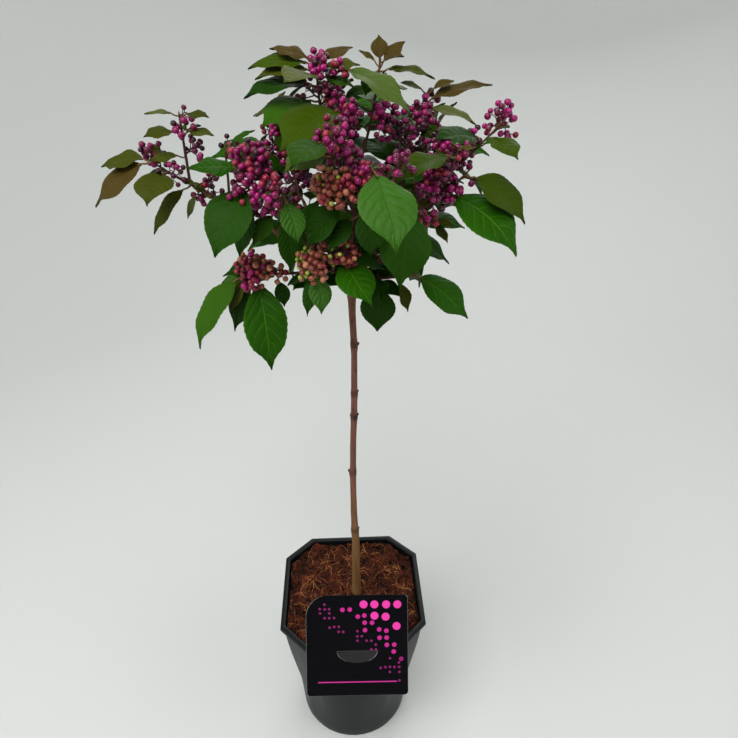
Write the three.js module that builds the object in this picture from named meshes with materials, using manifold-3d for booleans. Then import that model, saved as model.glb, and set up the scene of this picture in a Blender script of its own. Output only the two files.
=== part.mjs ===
// Potted standard beautyberry: a black nursery pot, one clear stem, and an open crown with berries.
// Millimetres, +Z up, origin at the middle of the pot's underside. Headings turn from +X towards +Y.
import * as THREE from 'three';
import { mergeVertices } from 'three/addons/utils/BufferGeometryUtils.js';
import Module from 'manifold-3d';

const wasm = await Module();
wasm.setup();

// Driving dimensions of the pot and what stands in it
const POT = {
  height: 169, halfWidth: 70, chamfer: 26.8, turn: 2.7, wall: 1.6, floor: 2.4,
  baseRadius: 57, baseRounding: 2.4, neckHalfWidth: 66.4, lipHeight: 4.2, lipSlope: 0.4, lipRounding: 0.9,
  drainHoles: 4, drainRadius: 5, drainCircle: 38, drainSides: 8,
  sideSteps: 4, cornerSteps: 2,
};
const WALL_HEIGHTS = [40, 75, 105, 135];
const SOIL_LEVEL = 165.5;
const SOIL_DIP = 2;
const CLEARANCE = 0.3;
const CARD = {
  side: 93.5, thickness: 0.8, bigCorner: 20, smallCorner: 3.5, aboveRim: 52, lean: 29.5,
  slotWidth: 37, slotDepth: 12, tongueDip: 9, middleX: 4.8, standOff: 1.1, turn: 1.1,
};

// The stem stands a little beside the pot's middle, and the crown is over it. Its rows are height,
// sideways offset and radius, with its knots and the swollen head for the boughs.
const CROWN_X = 3.2;
const STEM_X = 4.2;
const STEM = [
  [SOIL_LEVEL + CLEARANCE, 0, 5.8], [170, 0, 4.9], [177, 0, 4.4], [205, -0.1, 4.1], [240, -0.1, 3.6],
  [246, -0.3, 3.7], [252, -0.5, 4], [258, -0.7, 3.3], [280, -1.3, 3], [300, -1.4, 2.8],
  [317, -1.5, 2.8], [323, -1.7, 3.5], [330, -1.3, 2.7], [360, -0.7, 2.7], [378, 0, 2.7],
  [384, 0.3, 3.3], [390, 0.4, 2.7], [402, 0.6, 2.6], [407, 0.8, 3.2], [413, 0.8, 2.6],
  [446, 1.1, 2.5], [452, 1.3, 3.2], [459, 0.9, 2.6], [482, 0, 2.7], [492, 0, 3.2],
  [500, 0, 4.5], [514, 0, 5], [537, 0, 5], [544, 0, 4.3],
];
const STEM_SIDES = 9;
const HEAD_RADIUS = 5;
const HEAD_TOP = 544;
const LEADER_OFFSET = 2.1;

// Boughs: heading, height on the stem, reach and height of the tip
const BOUGH_RADIUS = [1.7, 1.3];
const BOUGH_SIDES = 5;
const BOUGH_SAG = 0.12;
const BOUGHS = {
  left: [188, 513, 60, 556],
  front_left: [226, 520, 46, 552],
  top_left: [205, HEAD_TOP, 12, 588],
  top: [350, HEAD_TOP, 8, 590],
  top_right: [2, 530, 32, 586],
  right: [345, 522, 50, 572],
  right_low: [325, 511, 46, 556],
  front: [276, 527, 42, 560],
  front_right: [300, 516, 40, 548],
  low_right: [322, 503, 24, 514],
  low_front: [258, 506, 26, 524],
  low_left: [212, 505, 32, 520],
  back_left: [140, 511, 44, 556],
  back: [96, 519, 40, 562],
  back_right: [45, 513, 46, 556],
  back_low: [75, 504, 34, 524],
  back_left_low: [140, 505, 34, 524],
  back_right_low: [38, 505, 34, 526],
};

// Twigs: mass, parent twig ('' is the bough's tip), place on the parent, heading, rise and length.
// Their leaves are place on the twig, heading, rise and length; their fruit is place, heading and radius.
const TWIG_RADIUS = [1.1, 0.7];
const TWIG_BEND = 10;
const TWIG_STEPS = 5;
const TWIG_LEAD = 1.5;
const STEEPEST = 89;
const LAST_NODE = 0.98;
const TWIGS = {
  left: {
    mass: 'left', from: '', at: 1, heading: 187, rise: 29, length: 49,
    leaves: [[1, 211, -48, 36], [0.88, 225, -60, 16], [0.15, 150, -10, 36]],
    fruit: [[0.65, 130, 8], [0.15, 120, 6]],
  },
  left_out: {
    mass: 'left', from: 'left', at: 1, heading: 182, rise: 33, length: 27,
    leaves: [[0.6, 262, -24, 32], [1, 190, -38, 44], [0.5, 150, -20, 24], [1, 170, -12, 32]],
    fruit: [[0.95, 110, 6.5], [0.45, 290, 6]],
  },
  left_up: {
    mass: 'left', from: 'left', at: 1, heading: 110, rise: 80, length: 42,
    leaves: [
      [1, 193, 0, 16], [0.75, 210, -5, 19], [1, 343, -5, 16], [0.75, 341, -5, 18], [0.4, 205, -5, 18],
    ],
    fruit: [[1, 340, 4], [0.75, 290, 5], [0.45, 20, 6]],
  },
  left_mid: {
    mass: 'left', from: 'left', at: 0.45, heading: 300, rise: 84, length: 36,
    leaves: [[1, 10, 26, 18], [0.6, 160, 0, 16]],
    fruit: [[1, 60, 5], [0.6, 200, 5]],
  },
  front_left: {
    mass: 'front_left', from: '', at: 1, heading: 218, rise: 54, length: 58,
    leaves: [[0.98, 205, 5, 28], [0.85, 233, -50, 45], [0.7, 205, -70, 36]],
    fruit: [[1, 60, 9.5], [0.72, 260, 11], [0.5, 240, 9]],
  },
  front_left_in: {
    mass: 'front_left', from: 'front_left', at: 0.35, heading: 284, rise: 36, length: 38,
    leaves: [[0.35, 207, -50, 22], [1, 300, -60, 24], [0.4, 316, -77, 34]],
    fruit: [[1, 240, 7], [0.4, 20, 6]],
  },
  top_left: {
    mass: 'top_left', from: '', at: 1, heading: 190, rise: 84, length: 65,
    leaves: [
      [0.65, 222, -18, 40], [0.97, 178, 12, 24], [0.95, 204, 9, 36], [0.9, 212, 6, 33],
      [0.85, 232, -2, 32], [0.78, 204, 1, 42], [0.95, 30, 16, 22], [0.92, 350, 12, 22],
      [0.85, 338, -14, 20], [0.55, 40, -10, 34],
    ],
    fruit: [[0.98, 60, 4], [0.85, 320, 7], [0.62, 345, 9], [0.68, 200, 9]],
  },
  top_left_out: {
    mass: 'top_left', from: 'top_left', at: 0.74, heading: 345, rise: 38, length: 18,
    leaves: [[1, 322, -14, 52]],
    fruit: [[0.9, 300, 4]],
  },
  top_left_in: {
    mass: 'top_left', from: 'top_left', at: 0.25, heading: 318, rise: 48, length: 28,
    leaves: [[1, 234, -15, 56]],
    fruit: [[0.9, 300, 6]],
  },
  top: {
    mass: 'top', from: '', at: 1, heading: 12, rise: 78, length: 62,
    leaves: [
      [0.95, 245, -38, 20], [0.78, 200, -22, 18], [0.55, 210, 0, 18], [0.94, 10, 38, 17],
      [0.95, 95, 66, 14], [0.96, 165, 28, 11], [1, 325, 8, 13], [0.92, 350, -10, 30],
      [0.75, 60, -10, 34], [0.6, 130, -12, 36],
    ],
    fruit: [[0.55, 340, 9], [0.38, 335, 9], [0.78, 90, 6]],
  },
  top_right: {
    mass: 'top_right', from: '', at: 1, heading: 8, rise: 68, length: 50,
    leaves: [
      [1, 194, 16, 14], [1, 12, 16, 14], [0.85, 2, 12, 40], [0.8, 336, -14, 32], [0.6, 120, -4, 34],
      [0.4, 100, 0, 40],
    ],
    fruit: [[0.85, 60, 6], [0.55, 200, 9], [0.5, 300, 10], [0.4, 130, 6]],
  },
  right: {
    mass: 'right', from: '', at: 1, heading: 358, rise: 44, length: 66,
    leaves: [[0.78, 218, 4, 38], [0.84, 297, -18, 27], [0.6, 100, -10, 30], [0.45, 120, -10, 40]],
    fruit: [[0.96, 60, 9], [0.75, 180, 6], [0.5, 200, 6], [0.45, 90, 6]],
  },
  right_in: {
    mass: 'right', from: 'right', at: 0.3, heading: 265, rise: 44, length: 24,
    leaves: [[0.8, 211, -30, 26]],
    fruit: [[1, 250, 8]],
  },
  right_low: {
    mass: 'right_low', from: '', at: 1, heading: 354, rise: 44, length: 52,
    leaves: [[0.65, 322, -33, 56], [0.95, 344, -38, 44], [0.9, 60, -20, 40], [0.5, 80, -20, 36]],
    fruit: [[0.65, 300, 6], [0.5, 60, 6], [0.9, 20, 5]],
  },
  right_low_in: {
    mass: 'right_low', from: 'right_low', at: 0.5, heading: 296, rise: 60, length: 36,
    leaves: [[1, 223, -12, 46]],
    fruit: [[0.55, 215, 8], [0.3, 215, 8]],
  },
  right_low_down: {
    mass: 'right_low', from: 'right_low', at: 0.25, heading: 285, rise: 0, length: 14,
    leaves: [[1, 345, -15, 12], [0.8, 345, -50, 15]],
    fruit: [[1, 280, 4]],
  },
  front: {
    mass: 'front', from: '', at: 1, heading: 284, rise: 46, length: 68,
    leaves: [[1, 288, -46, 46], [0.6, 291, -78, 30], [0.3, 215, -45, 24], [0.35, 60, -50, 36]],
    fruit: [[0.7, 215, 7], [0.62, 20, 9], [0.45, 10, 8]],
  },
  front_in: {
    mass: 'front', from: 'front', at: 0.2, heading: 225, rise: 64, length: 54,
    leaves: [[0.85, 229, -8, 30], [1, 245, -12, 34], [0.3, 204, -50, 34]],
    fruit: [[1, 330, 8], [0.85, 180, 7], [0.42, 230, 10], [0.65, 40, 9]],
  },
  front_out: {
    mass: 'front', from: 'front', at: 0.55, heading: 330, rise: 45, length: 26,
    leaves: [[0.7, 60, -15, 30]],
    fruit: [[1, 340, 7], [0.45, 120, 8]],
  },
  front_right: {
    mass: 'front_right', from: '', at: 1, heading: 318, rise: 46, length: 42,
    leaves: [[1, 250, -60, 46], [0.8, 62, -30, 36], [0.5, 330, -62, 30], [0.25, 235, -60, 38]],
    fruit: [[0.9, 330, 9], [0.6, 200, 8]],
  },
  low_right: {
    mass: 'low_right', from: '', at: 1, heading: 350, rise: 12, length: 28,
    leaves: [[0.1, 262, -77, 33], [0.5, 330, -72, 22], [0.85, 341, -36, 46], [0.6, 75, -30, 40]],
    fruit: [[0.6, 60, 5]],
  },
  low_front: {
    mass: 'low_front', from: '', at: 1, heading: 250, rise: 24, length: 42,
    leaves: [[1, 280, -60, 24], [1, 240, -70, 26], [0.5, 160, -30, 30]],
    fruit: [[1, 250, 8], [0.5, 200, 6], [1, 165, 7]],
  },
  low_front_in: {
    mass: 'low_front', from: 'low_front', at: 0.4, heading: 290, rise: 50, length: 26,
    leaves: [[0.6, 306, -28, 38], [0.9, 20, -20, 30]],
    fruit: [[1, 270, 8], [0.6, 350, 8]],
  },
  low_left: {
    mass: 'low_left', from: '', at: 1, heading: 208, rise: 10, length: 50,
    leaves: [
      [0.35, 196, 0, 38], [0.92, 201, -57, 58], [0.85, 192, -64, 28], [0.8, 292, -73, 62],
      [0.75, 187, -68, 42], [0.5, 300, -72, 18], [0.65, 150, -25, 40],
    ],
    fruit: [[0.72, 250, 10], [0.6, 120, 5], [0.5, 290, 5]],
  },
};

// Twigs on the sides away from those above. A seeded rule sets their leaves in pairs, each pair crosswise
// to the last, with a ball of fruit at each pair's foot.
const PAIR_LENGTHS = [46, 52, 44, 26];
const PAIRS = { first: 0.28, lean: 0.5, spread: 0.86, turnMost: 20, dip: [15, 35], size: [0.85, 1.15] };
const PAIR_FRUIT = { radius: [6, 9], lastShare: 0.6 };
const PAIR_SEED = 101;
const PAIRED_TWIGS = {
  back_left: { mass: 'back_left', from: '', at: 1, heading: 120, rise: 34, length: 70 },
  back_left_up: { mass: 'back_left', from: 'back_left', at: 0.12, heading: 114, rise: 62, length: 60 },
  back: { mass: 'back', from: '', at: 1, heading: 92, rise: 40, length: 72 },
  back_up: { mass: 'back', from: 'back', at: 0.12, heading: 110, rise: 72, length: 58 },
  back_right: { mass: 'back_right', from: '', at: 1, heading: 58, rise: 32, length: 72 },
  back_right_up: { mass: 'back_right', from: 'back_right', at: 0.12, heading: 60, rise: 66, length: 56 },
  back_low: { mass: 'back_low', from: '', at: 1, heading: 88, rise: 10, length: 58 },
  back_left_low: { mass: 'back_left_low', from: '', at: 1, heading: 118, rise: 12, length: 48 },
  back_right_low: { mass: 'back_right_low', from: '', at: 1, heading: 60, rise: 14, length: 48 },
};

// A leaf: its width as a share of its length, its midrib's keel, its droop and its turn to the light
const LEAF = {
  width: 0.56, keel: 0.9, keelPerLength: 0.012, droop: 18, droopPerLength: 0.45,
  shortStations: [0.3, 0.68], longStations: [0.2, 0.5, 0.8], longFrom: 42, steps: 8,
  stalk: 5, stalkPerLength: 0.05, stalkRadius: 0.7, stalkLift: 10, stalkSteepest: 80,
  turnShare: 0.7, turnMost: 50,
};
const LIGHT = new THREE.Vector3(0.1, -0.5, 0.86).normalize();
const FRUIT = { rise: 30, offset: 0.7, roundFrom: 7.2, sizes: [1, 0.85, 0.7] };

// Growth keeps this far from what is there already. A leaf with no room tries these turns and dips.
const GUARD = 0.7;
const POSES = [[0, 0], [0, -10], [12, 0], [-12, 0], [14, -14], [-14, -14], [24, 6], [-24, 6]];

// Materials
const surface = (color, roughness, metalness = 0) => (
  new THREE.MeshStandardMaterial({ color, roughness, metalness })
);
const MATERIALS = {
  pot: surface(0x1b1d1f, 0.45),
  soil: surface(0x5a3322, 0.95),
  card: surface(0x0d0f16, 0.3),
  bark: surface(0x6b5540, 0.8),
  bough: surface(0x5b4034, 0.75),
  foliage: surface(0x3f6b2a, 0.6),
};

// Vectors and seeded numbers
const radians = THREE.MathUtils.degToRad;
const degrees = THREE.MathUtils.radToDeg;
const point = (x, y, z) => new THREE.Vector3(x, y, z);
const UP = point(0, 0, 1);
const ASLANT = point(0.31, 0.17, 1);

function aim(heading, rise) {
  const flat = Math.cos(radians(rise));
  return point(flat * Math.cos(radians(heading)), flat * Math.sin(radians(heading)), Math.sin(radians(rise)));
}

function seededNumbers(seed) {
  let state = seed;
  return (low, high) => {
    state = (16807 * state) % 2147483647;
    return low + ((high - low) * state) / 2147483647;
  };
}

// A closed skin over rings of points that run counter-clockwise about the way they follow each other.
// Each four-sided face is split across its shorter diagonal. The end is a flat cap, or the given tip.
function loft(rings, tip) {
  const corners = rings.flat();
  const count = rings[0].length;
  const lastRing = corners.length - count;
  const triangles = [];
  for (let side = 0; side < count; side += 1) {
    const next = (side + 1) % count;
    for (let ring = 0; ring < lastRing; ring += count) {
      const [a, b, c, d] = [ring + side, ring + next, ring + count + next, ring + count + side];
      if (corners[a].distanceTo(corners[c]) < corners[b].distanceTo(corners[d])) {
        triangles.push(a, b, c, a, c, d);
      } else {
        triangles.push(a, b, d, b, c, d);
      }
    }
    if (tip) {
      triangles.push(lastRing + side, lastRing + next, corners.length);
    }
  }
  for (let corner = 1; corner < count - 1; corner += 1) {
    triangles.push(0, corner + 1, corner);
    if (!tip) {
      triangles.push(lastRing, lastRing + corner, lastRing + corner + 1);
    }
  }
  if (tip) {
    corners.push(tip);
  }
  const geometry = new THREE.BufferGeometry();
  const numbers = corners.flatMap((corner) => corner.toArray());
  geometry.setAttribute('position', new THREE.Float32BufferAttribute(numbers, 3));
  geometry.setIndex(triangles);
  return geometry;
}

// Solids that can be joined and cut, and back
function solidOf(geometry) {
  const bare = geometry.clone();
  bare.deleteAttribute('normal');
  bare.deleteAttribute('uv');
  const merged = mergeVertices(bare);
  const vertProperties = new Float32Array(merged.attributes.position.array);
  const triVerts = new Uint32Array(merged.index.array);
  return new wasm.Manifold(new wasm.Mesh({ numProp: 3, vertProperties, triVerts }));
}

function geometryOf(solid) {
  const { vertProperties, triVerts } = solid.getMesh();
  const geometry = new THREE.BufferGeometry();
  geometry.setAttribute('position', new THREE.BufferAttribute(vertProperties, 3));
  geometry.setIndex(new THREE.BufferAttribute(triVerts, 1));
  return geometry;
}

function meshOf(name, geometry, material) {
  geometry.computeVertexNormals();
  const mesh = new THREE.Mesh(geometry, material);
  mesh.name = name;
  return mesh;
}

// The pot: round at its foot, a square with cut corners at its rim
function potAngles() {
  const cornerAngle = degrees(Math.atan2(POT.halfWidth - POT.chamfer, POT.halfWidth));
  const angles = [];
  for (let quarter = 0; quarter < 4; quarter += 1) {
    for (let step = 0; step < POT.sideSteps; step += 1) {
      angles.push(quarter * 90 + cornerAngle * (-1 + (2 * step) / POT.sideSteps));
    }
    for (let step = 0; step < POT.cornerSteps; step += 1) {
      angles.push(quarter * 90 + cornerAngle + ((90 - 2 * cornerAngle) * step) / POT.cornerSteps);
    }
  }
  return angles;
}

function squareRadius(angle, halfWidth) {
  const cutCorner = (2 * halfWidth - (POT.chamfer * halfWidth) / POT.halfWidth) / Math.SQRT2;
  const turned = radians(angle);
  const toSide = halfWidth / Math.max(Math.abs(Math.cos(turned)), Math.abs(Math.sin(turned)));
  const toCorner = (cutCorner * Math.SQRT2) / (Math.abs(Math.cos(turned)) + Math.abs(Math.sin(turned)));
  return Math.min(toSide, toCorner);
}

function potRing(height, inset) {
  const share = Math.min(height / (POT.height - POT.lipHeight), 1);
  const squareness = THREE.MathUtils.smoothstep(share, 0.1, 1);
  const halfWidth = THREE.MathUtils.lerp(POT.baseRadius, POT.neckHalfWidth, share);
  const ring = potAngles().map((angle) => {
    const radius = THREE.MathUtils.lerp(halfWidth, squareRadius(angle, halfWidth), squareness);
    return aim(angle + POT.turn, 0).multiplyScalar(radius - inset).setZ(height);
  });
  return ring;
}

function lipRing(height, halfWidth) {
  return potAngles().map((angle) => (
    aim(angle + POT.turn, 0).multiplyScalar(squareRadius(angle, halfWidth)).setZ(height)
  ));
}

function makePot() {
  const lipFoot = POT.height - POT.lipHeight;
  const rings = [
    potRing(0, POT.baseRounding),
    potRing(POT.baseRounding, 0),
    ...WALL_HEIGHTS.map((height) => potRing(height, 0)),
    potRing(lipFoot, 0),
    lipRing(lipFoot + POT.lipSlope, POT.halfWidth),
    lipRing(POT.height - POT.lipRounding, POT.halfWidth),
    lipRing(POT.height, POT.halfWidth - POT.lipRounding),
    lipRing(POT.height, POT.neckHalfWidth - POT.wall + POT.lipRounding),
    lipRing(POT.height - POT.lipRounding, POT.neckHalfWidth - POT.wall),
    potRing(lipFoot, POT.wall),
    ...WALL_HEIGHTS.toReversed().map((height) => potRing(height, POT.wall)),
    potRing(POT.floor, POT.wall),
  ];
  let pot = solidOf(loft(rings));
  for (let hole = 0; hole < POT.drainHoles; hole += 1) {
    const { drainRadius, drainSides, floor } = POT;
    const drill = new THREE.CylinderGeometry(drainRadius, drainRadius, 4 * floor, drainSides);
    drill.rotateX(Math.PI / 2);
    const place = aim((360 * hole) / POT.drainHoles, 0).multiplyScalar(POT.drainCircle);
    drill.translate(place.x, place.y, 0);
    pot = pot.subtract(solidOf(drill));
  }
  return meshOf('pot', geometryOf(pot), MATERIALS.pot);
}

// The soil fills the pot and lies level round the stem
function makeSoil() {
  const inset = POT.wall + CLEARANCE;
  const edge = SOIL_LEVEL - SOIL_DIP;
  const shrink = (ring, share, height) => ring.map((p) => point(p.x * share, p.y * share, height));
  const rings = [POT.floor + CLEARANCE, ...WALL_HEIGHTS, edge].map((height) => potRing(height, inset));
  const brim = rings[rings.length - 1];
  rings.push(shrink(brim, 0.8, SOIL_LEVEL - SOIL_DIP / 4), shrink(brim, 0.4, SOIL_LEVEL));
  return meshOf('soil', loft(rings), MATERIALS.soil);
}

// The label card: its tongue, cut out as a half moon, is bent back over the rim
function halfMoon(width, depth, path) {
  path.moveTo(-width / 2, 0);
  path.bezierCurveTo(-width / 2.2, -depth * 1.25, width / 2.2, -depth * 1.25, width / 2, 0);
  path.closePath();
  return path;
}

function cardOutline() {
  const { side, bigCorner, smallCorner, aboveRim } = CARD;
  const left = -side / 2;
  const right = side / 2;
  const top = aboveRim;
  const bottom = aboveRim - side;
  const shape = new THREE.Shape();
  shape.moveTo(left, bottom + smallCorner);
  shape.quadraticCurveTo(left, bottom, left + smallCorner, bottom);
  shape.lineTo(right - smallCorner, bottom);
  shape.quadraticCurveTo(right, bottom, right, bottom + smallCorner);
  shape.lineTo(right, top - smallCorner);
  shape.quadraticCurveTo(right, top, right - smallCorner, top);
  shape.lineTo(left + bigCorner, top);
  shape.absarc(left + bigCorner, top - bigCorner, bigCorner, Math.PI / 2, Math.PI, false);
  shape.closePath();
  return shape;
}

function makeCard() {
  const { thickness, slotWidth, slotDepth, lean, tongueDip, middleX, standOff, turn } = CARD;
  const outline = cardOutline();
  outline.holes.push(halfMoon(slotWidth, slotDepth, new THREE.Path()));
  const options = { depth: thickness, bevelEnabled: false, curveSegments: 5 };
  const plate = new THREE.ExtrudeGeometry(outline, options).rotateX(radians(90 - lean));
  const tongueShape = halfMoon(slotWidth - 2 * CLEARANCE, slotDepth - CLEARANCE, new THREE.Shape());
  const tongue = new THREE.ExtrudeGeometry(tongueShape, options).rotateX(radians(180 - tongueDip));
  tongue.translate(0, 0, thickness);
  const card = solidOf(plate).add(solidOf(tongue));
  const reachOverRim = POT.halfWidth - POT.neckHalfWidth + POT.wall + standOff;
  const hingeHeight = POT.height + CLEARANCE + reachOverRim * Math.tan(radians(tongueDip));
  const geometry = geometryOf(card);
  geometry.translate(middleX, -POT.halfWidth - standOff, hingeHeight);
  geometry.rotateZ(radians(turn));
  return meshOf('label_card', geometry, MATERIALS.card);
}

// Limbs: tapering skins along a path
function limb(path, radii, sides) {
  const side = path[1].clone().sub(path[0]).cross(ASLANT).normalize();
  const rings = path.map((centre, index) => {
    const before = path[Math.max(index - 1, 0)];
    const after = path[Math.min(index + 1, path.length - 1)];
    const along = after.clone().sub(before).normalize();
    if (index === 0) {
      along.copy(path[1]).sub(path[0]).normalize();
    }
    const across = side.clone().addScaledVector(along, -side.dot(along)).normalize();
    const up = along.clone().cross(across);
    const radius = radii[index];
    return Array.from({ length: sides }, (_, corner) => {
      const angle = (2 * Math.PI * corner) / sides;
      return centre.clone()
        .addScaledVector(across, radius * Math.cos(angle))
        .addScaledVector(up, radius * Math.sin(angle));
    });
  });
  return loft(rings);
}

function taper(count, [start, end]) {
  return Array.from({ length: count }, (_, index) => start + ((end - start) * index) / (count - 1));
}

function makeStem() {
  const path = STEM.map(([height, offset]) => point(STEM_X + offset, 0, height));
  return limb(path, STEM.map(([, , radius]) => radius), STEM_SIDES);
}

// A bough leaves the stem's head, bends outwards and ends at its tip
function boughPath([heading, height, reach, tipHeight]) {
  const tip = aim(heading, 0).multiplyScalar(reach).add(point(CROWN_X, 0, tipHeight));
  const leads = height >= HEAD_TOP;
  const start = aim(heading, 0).multiplyScalar(leads ? LEADER_OFFSET : HEAD_RADIUS + CLEARANCE);
  start.add(point(STEM_X, 0, leads ? HEAD_TOP + CLEARANCE : height));
  const middle = start.clone().add(tip).multiplyScalar(0.5);
  if (leads) {
    middle.set(start.x, start.y, middle.z);
  } else {
    middle.addScaledVector(aim(heading, 0), BOUGH_SAG * reach);
    middle.z -= BOUGH_SAG * (tipHeight - height);
    const startRise = Math.atan2(middle.z - start.z, Math.hypot(middle.x - start.x, middle.y - start.y));
    start.addScaledVector(aim(heading, 0), BOUGH_RADIUS[0] * Math.sin(startRise));
  }
  return new THREE.QuadraticBezierCurve3(start, middle, tip).getPoints(4);
}

// A twig starts along its bough's last stretch, or inside its parent, and bends to its own heading
function twigPath(start, lead, { heading, rise, length }) {
  const path = [start.clone()];
  if (lead) {
    path[0].addScaledVector(lead, CLEARANCE);
    path.push(path[0].clone().addScaledVector(lead, TWIG_LEAD));
  }
  for (let step = 0; step < TWIG_STEPS; step += 1) {
    const climb = rise - TWIG_BEND / 2 + (TWIG_BEND * (step + 0.5)) / TWIG_STEPS;
    const next = aim(heading, Math.min(STEEPEST, climb)).multiplyScalar(length / TWIG_STEPS);
    path.push(path[path.length - 1].clone().add(next));
  }
  return path;
}

function placeOn(path, share) {
  const curve = new THREE.CurvePath();
  path.slice(1).forEach((end, index) => curve.add(new THREE.LineCurve3(path[index], end)));
  const at = Math.min(Math.max(share, 0), 1);
  return { spot: curve.getPointAt(at), along: curve.getTangentAt(at) };
}

// A leaf with its stalk: flat above, keeled along its midrib, drooping to its tip and turned to the light
function leafWidth(share) {
  return Math.sin(Math.PI * share ** 0.86) ** 0.92 * (1 - 0.3 * share ** 5);
}

function stalkEnd(spot, heading, rise, length) {
  const startRise = rise + (LEAF.droop + LEAF.droopPerLength * length) / 2;
  const stalk = LEAF.stalk + LEAF.stalkPerLength * length;
  const way = aim(heading, Math.min(LEAF.stalkSteepest, startRise + LEAF.stalkLift));
  return spot.clone().addScaledVector(way, stalk);
}

function leafFrame(heading, rise, turn) {
  const up = aim(heading, rise + 90);
  const side = aim(heading, rise).cross(up);
  return {
    right: side.clone().multiplyScalar(Math.cos(turn)).addScaledVector(up, -Math.sin(turn)),
    top: up.clone().multiplyScalar(Math.cos(turn)).addScaledVector(side, Math.sin(turn)),
  };
}

function turnToLight(heading, rise) {
  const { right, top } = leafFrame(heading, rise, 0);
  const needed = degrees(Math.atan2(right.dot(LIGHT), top.dot(LIGHT))) * LEAF.turnShare;
  return radians(THREE.MathUtils.clamp(needed, -LEAF.turnMost, LEAF.turnMost));
}

function keeledRing(spot, { right, top }, half, lift, keel) {
  const edge = (sign) => spot.clone().addScaledVector(right, sign * half).addScaledVector(top, lift);
  return [edge(1), spot.clone().addScaledVector(top, -keel), edge(-1)];
}

function leafShape(spot, heading, rise, length, swell) {
  const droop = LEAF.droop + LEAF.droopPerLength * length;
  const riseAt = (share) => rise + droop / 2 - droop * share;
  const turn = turnToLight(heading, rise);
  const base = stalkEnd(spot, heading, rise, length);
  const midrib = (share) => {
    const reached = base.clone();
    for (let step = 0.5; step < LEAF.steps; step += 1) {
      const way = aim(heading, riseAt((share * step) / LEAF.steps));
      reached.addScaledVector(way, (length * share) / LEAF.steps);
    }
    return reached;
  };
  const stations = length < LEAF.longFrom ? LEAF.shortStations : LEAF.longStations;
  const keel = LEAF.keel + LEAF.keelPerLength * length + swell;
  const blade = stations.map((share) => {
    const half = (LEAF.width * length * leafWidth(share)) / 2 + swell;
    return keeledRing(midrib(share), leafFrame(heading, riseAt(share), turn), half, swell, keel);
  });
  const stalk = LEAF.stalkRadius + swell;
  const foot = leafFrame(heading, riseAt(0), turn);
  const root = keeledRing(spot, foot, stalk, stalk / 2, stalk);
  const neck = keeledRing(base, foot, stalk, stalk / 2, stalk);
  const tip = midrib(1).addScaledVector(aim(heading, riseAt(1)), swell);
  const whole = solidOf(loft([root, neck, ...blade], tip));
  return { whole, blade: solidOf(loft([neck, ...blade], tip)) };
}

// Fruit: a ball of berries that hugs the twig at a leaf's foot
function fruitShape(spot, heading, radius, swell) {
  const centre = spot.clone().addScaledVector(aim(heading, FRUIT.rise), radius * FRUIT.offset);
  const Ball = radius < FRUIT.roundFrom ? THREE.OctahedronGeometry : THREE.IcosahedronGeometry;
  const ball = new Ball(radius + swell, 0);
  return solidOf(ball.translate(centre.x, centre.y, centre.z));
}

// The record of what already takes up space, so that nothing grows through it
const placed = [];

function boxOf(solid) {
  const { min, max } = solid.boundingBox();
  return new THREE.Box3(point(...min), point(...max));
}

function place(solid, mass, kind) {
  placed.push({ solid, box: boxOf(solid), mass, kind });
}

function meets(guard, applies) {
  const box = boxOf(guard);
  return placed.some((other) => (
    applies(other) && box.intersectsBox(other.box) && !guard.intersect(other.solid).isEmpty()
  ));
}

const isForeign = (mass) => (other) => other.mass !== mass && other.kind !== 'blade';
const isOwnBlade = (mass) => (other) => other.mass === mass && other.kind === 'blade';

// Growth: limbs, then twigs, then fruit, then leaves
const masses = {};

function addTo(mass, solid, kind) {
  masses[mass] ??= [];
  masses[mass].push(solid);
  place(solid, mass, kind);
}

function growTwigs(rows, tips, leads) {
  const paths = {};
  Object.entries(rows).forEach(([name, twig]) => {
    const fromTip = twig.from === '';
    if (!fromTip && !paths[twig.from]) {
      return;
    }
    const start = fromTip ? tips[twig.mass] : placeOn(paths[twig.from], twig.at).spot;
    const path = twigPath(start, fromTip ? leads[twig.mass] : null, twig);
    const free = fromTip ? path.slice(1) : path;
    const guard = solidOf(limb(free, taper(free.length, TWIG_RADIUS.map((radius) => radius + GUARD)), 3));
    if (!meets(guard, isForeign(twig.mass))) {
      paths[name] = path;
      addTo(twig.mass, solidOf(limb(path, taper(path.length, TWIG_RADIUS), 3)), 'twig');
    }
  });
  return paths;
}

function growFruit(path, mass, [at, heading, radius]) {
  const { spot } = placeOn(path, at * LAST_NODE);
  const share = FRUIT.sizes.find((size) => (
    !meets(fruitShape(spot, heading, radius * size, GUARD), isForeign(mass))
  ));
  if (share) {
    addTo(mass, fruitShape(spot, heading, radius * share, 0), 'fruit');
  }
}

function growLeaf(path, mass, [at, heading, rise, length]) {
  const { spot } = placeOn(path, at * LAST_NODE);
  const pose = POSES.find(([turn, dip]) => {
    const guard = leafShape(spot, heading + turn, rise + dip, length, GUARD);
    return !meets(guard.whole, isForeign(mass)) && !meets(guard.blade, isOwnBlade(mass));
  });
  if (pose) {
    const leaf = leafShape(spot, heading + pose[0], rise + pose[1], length, 0);
    addTo(mass, leaf.whole, 'leaf');
    place(leaf.blade, mass, 'blade');
  }
}

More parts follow.
